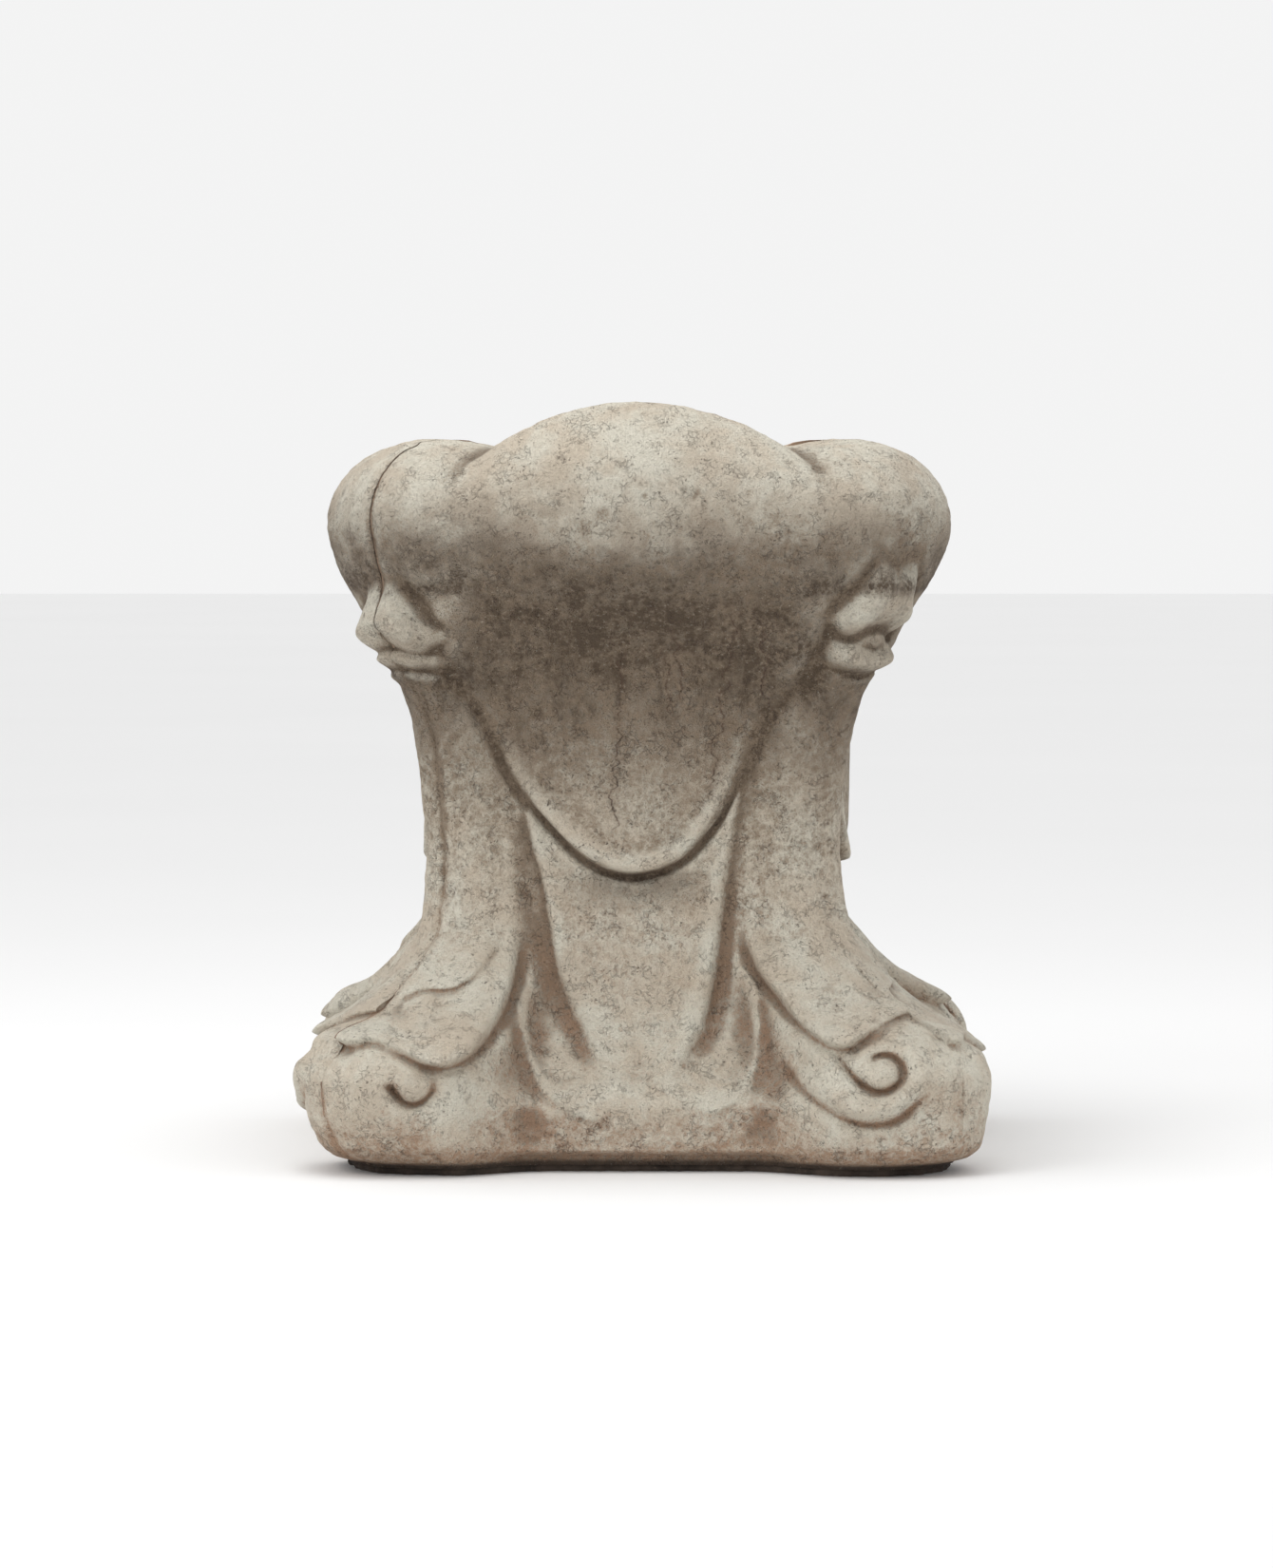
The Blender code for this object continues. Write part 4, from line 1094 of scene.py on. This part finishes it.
def stage():
    """Plain pale floor, soft light and the camera."""
    floor_mesh = bpy.data.meshes.new("floor")
    wide = 30.0
    floor_mesh.from_pydata([(-wide, -wide, 0), (wide, -wide, 0), (wide, wide, 0), (-wide, wide, 0)], [],
                           [(0, 1, 2, 3)])
    floor = bpy.data.objects.new("floor", floor_mesh)
    bpy.context.scene.collection.objects.link(floor)
    m = Shader("floor_paint")
    tone = m.mixed(m.noise(0.6, 2.0), (0.90, 0.90, 0.90), (0.93, 0.93, 0.93))
    floor_mesh.materials.append(m.finish(tone, 0.9))
    lamp("overhead", (-0.5, -0.7, 3.6), (0.0, 0.0, 0.4), 2.2, 40.0)
    lamp("key", (-3.2, -3.8, 3.8), (0.0, 0.0, 0.5), 2.2, 46.0)
    world = bpy.data.worlds.new("studio")
    bpy.context.scene.world = world
    world.use_nodes = True
    world.node_tree.nodes["Background"].inputs["Color"].default_value = (1.0, 1.0, 1.0, 1.0)
    world.node_tree.nodes["Background"].inputs["Strength"].default_value = 0.90
    camera_data = bpy.data.cameras.new("camera")
    camera = bpy.data.objects.new("camera", camera_data)
    bpy.context.scene.collection.objects.link(camera)
    bpy.context.scene.camera = camera
    camera.location = CAMERA_AT
    aim = Vector(CAMERA_AIM) - camera.location
    camera.rotation_euler = aim.to_track_quat("-Z", "Y").to_euler()
    camera_data.lens = LENS
    camera_data.sensor_width = 36.0
    camera_data.clip_end = 100.0


def lamp(name, at, aim, size, power):
    """A square soft light."""
    data = bpy.data.lights.new(name, "AREA")
    data.shape = "SQUARE"
    data.size = size
    data.energy = power
    made = bpy.data.objects.new(name, data)
    bpy.context.scene.collection.objects.link(made)
    made.location = at
    made.rotation_euler = (Vector(aim) - Vector(at)).to_track_quat("-Z", "Y").to_euler()


stage()
stone = stone_material("limewashed_stone")
mortar = mortar_material("lime_mortar", (0.36, 0.245, 0.170))
# bed mortar painted near black: its own dirty tone plus painted shadow under the stone's edge
bed_shadow_paint = mortar_material("bed_mortar_painted_shadow", (0.075, 0.055, 0.042))
bedding = mortar_material("bedding_putty", (0.42, 0.38, 0.33))
bronze = metal_material("dark_bronze", (0.30, 0.20, 0.10), 0.45, (0.10, 0.09, 0.06))
basin_brass = metal_material("spun_brass", (0.62, 0.43, 0.19), 0.30, (0.26, 0.17, 0.08), 0.35)
fitting_brass = metal_material("turned_brass", (0.72, 0.52, 0.25), 0.22, (0.35, 0.24, 0.11), 0.25)
copper = metal_material("dull_copper", (0.58, 0.30, 0.19), 0.35, (0.20, 0.13, 0.10))
rubber = rubber_material("black_rubber")

front_mesh, front_points = casting("casting_front_right_carved", (0, 1), -1.0)
back_mesh, back_points = casting("casting_back_left_carved", (2, 3), 1.0)
piece("casting_front_right_carved", front_mesh, stone, "font", "cast_stone", "casting_front_right")
piece("casting_back_left_carved", back_mesh, stone, "font", "cast_stone", "casting_back_left")
for where, column, out in (("front_left", 0, -1.0), ("back_right", -1, 1.0)):
    filling = joint_filling(f"joint_{where}_pointed", front_points[:, column], out)
    piece(f"joint_{where}_pointed", filling, mortar, "font", "lime_mortar", f"joint_mortar_{where}")
foot_line = np.concatenate([front_points[0, :-1], back_points[0, :-1]])
bed = bed_mesh("bed_mortar_ragged", foot_line)
piece("bed_mortar_ragged", bed, bed_shadow_paint, "font", "lime_mortar", "bed_mortar")
piece("basin_spun", turned("basin_spun", basin_profile()), basin_brass, "font", "basin_brass",
      "basin_flange", "basin_hoop", "basin_dish")

PAINT = {
    "basin_bedding": bedding, "waste_outlet": fitting_brass,
    "outlet_gasket": rubber, "backnut_washer": fitting_brass, "backnut": fitting_brass,
    "drain_pipe": copper, "pipe_union_nut": fitting_brass, "plug_body": fitting_brass,
    "plug_seal": rubber, "plug_ring": fitting_brass,
}
for fixing in ("cramp_top", "cramp_base", "dowel_upper", "dowel_lower"):
    for where in ("front_left", "back_right"):
        PAINT[f"{fixing}_{where}"] = bronze
for node, finish in PAINT.items():
    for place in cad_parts[node].material_slots:
        place.material = finish

bpy.context.scene.view_settings.view_transform = "Standard"
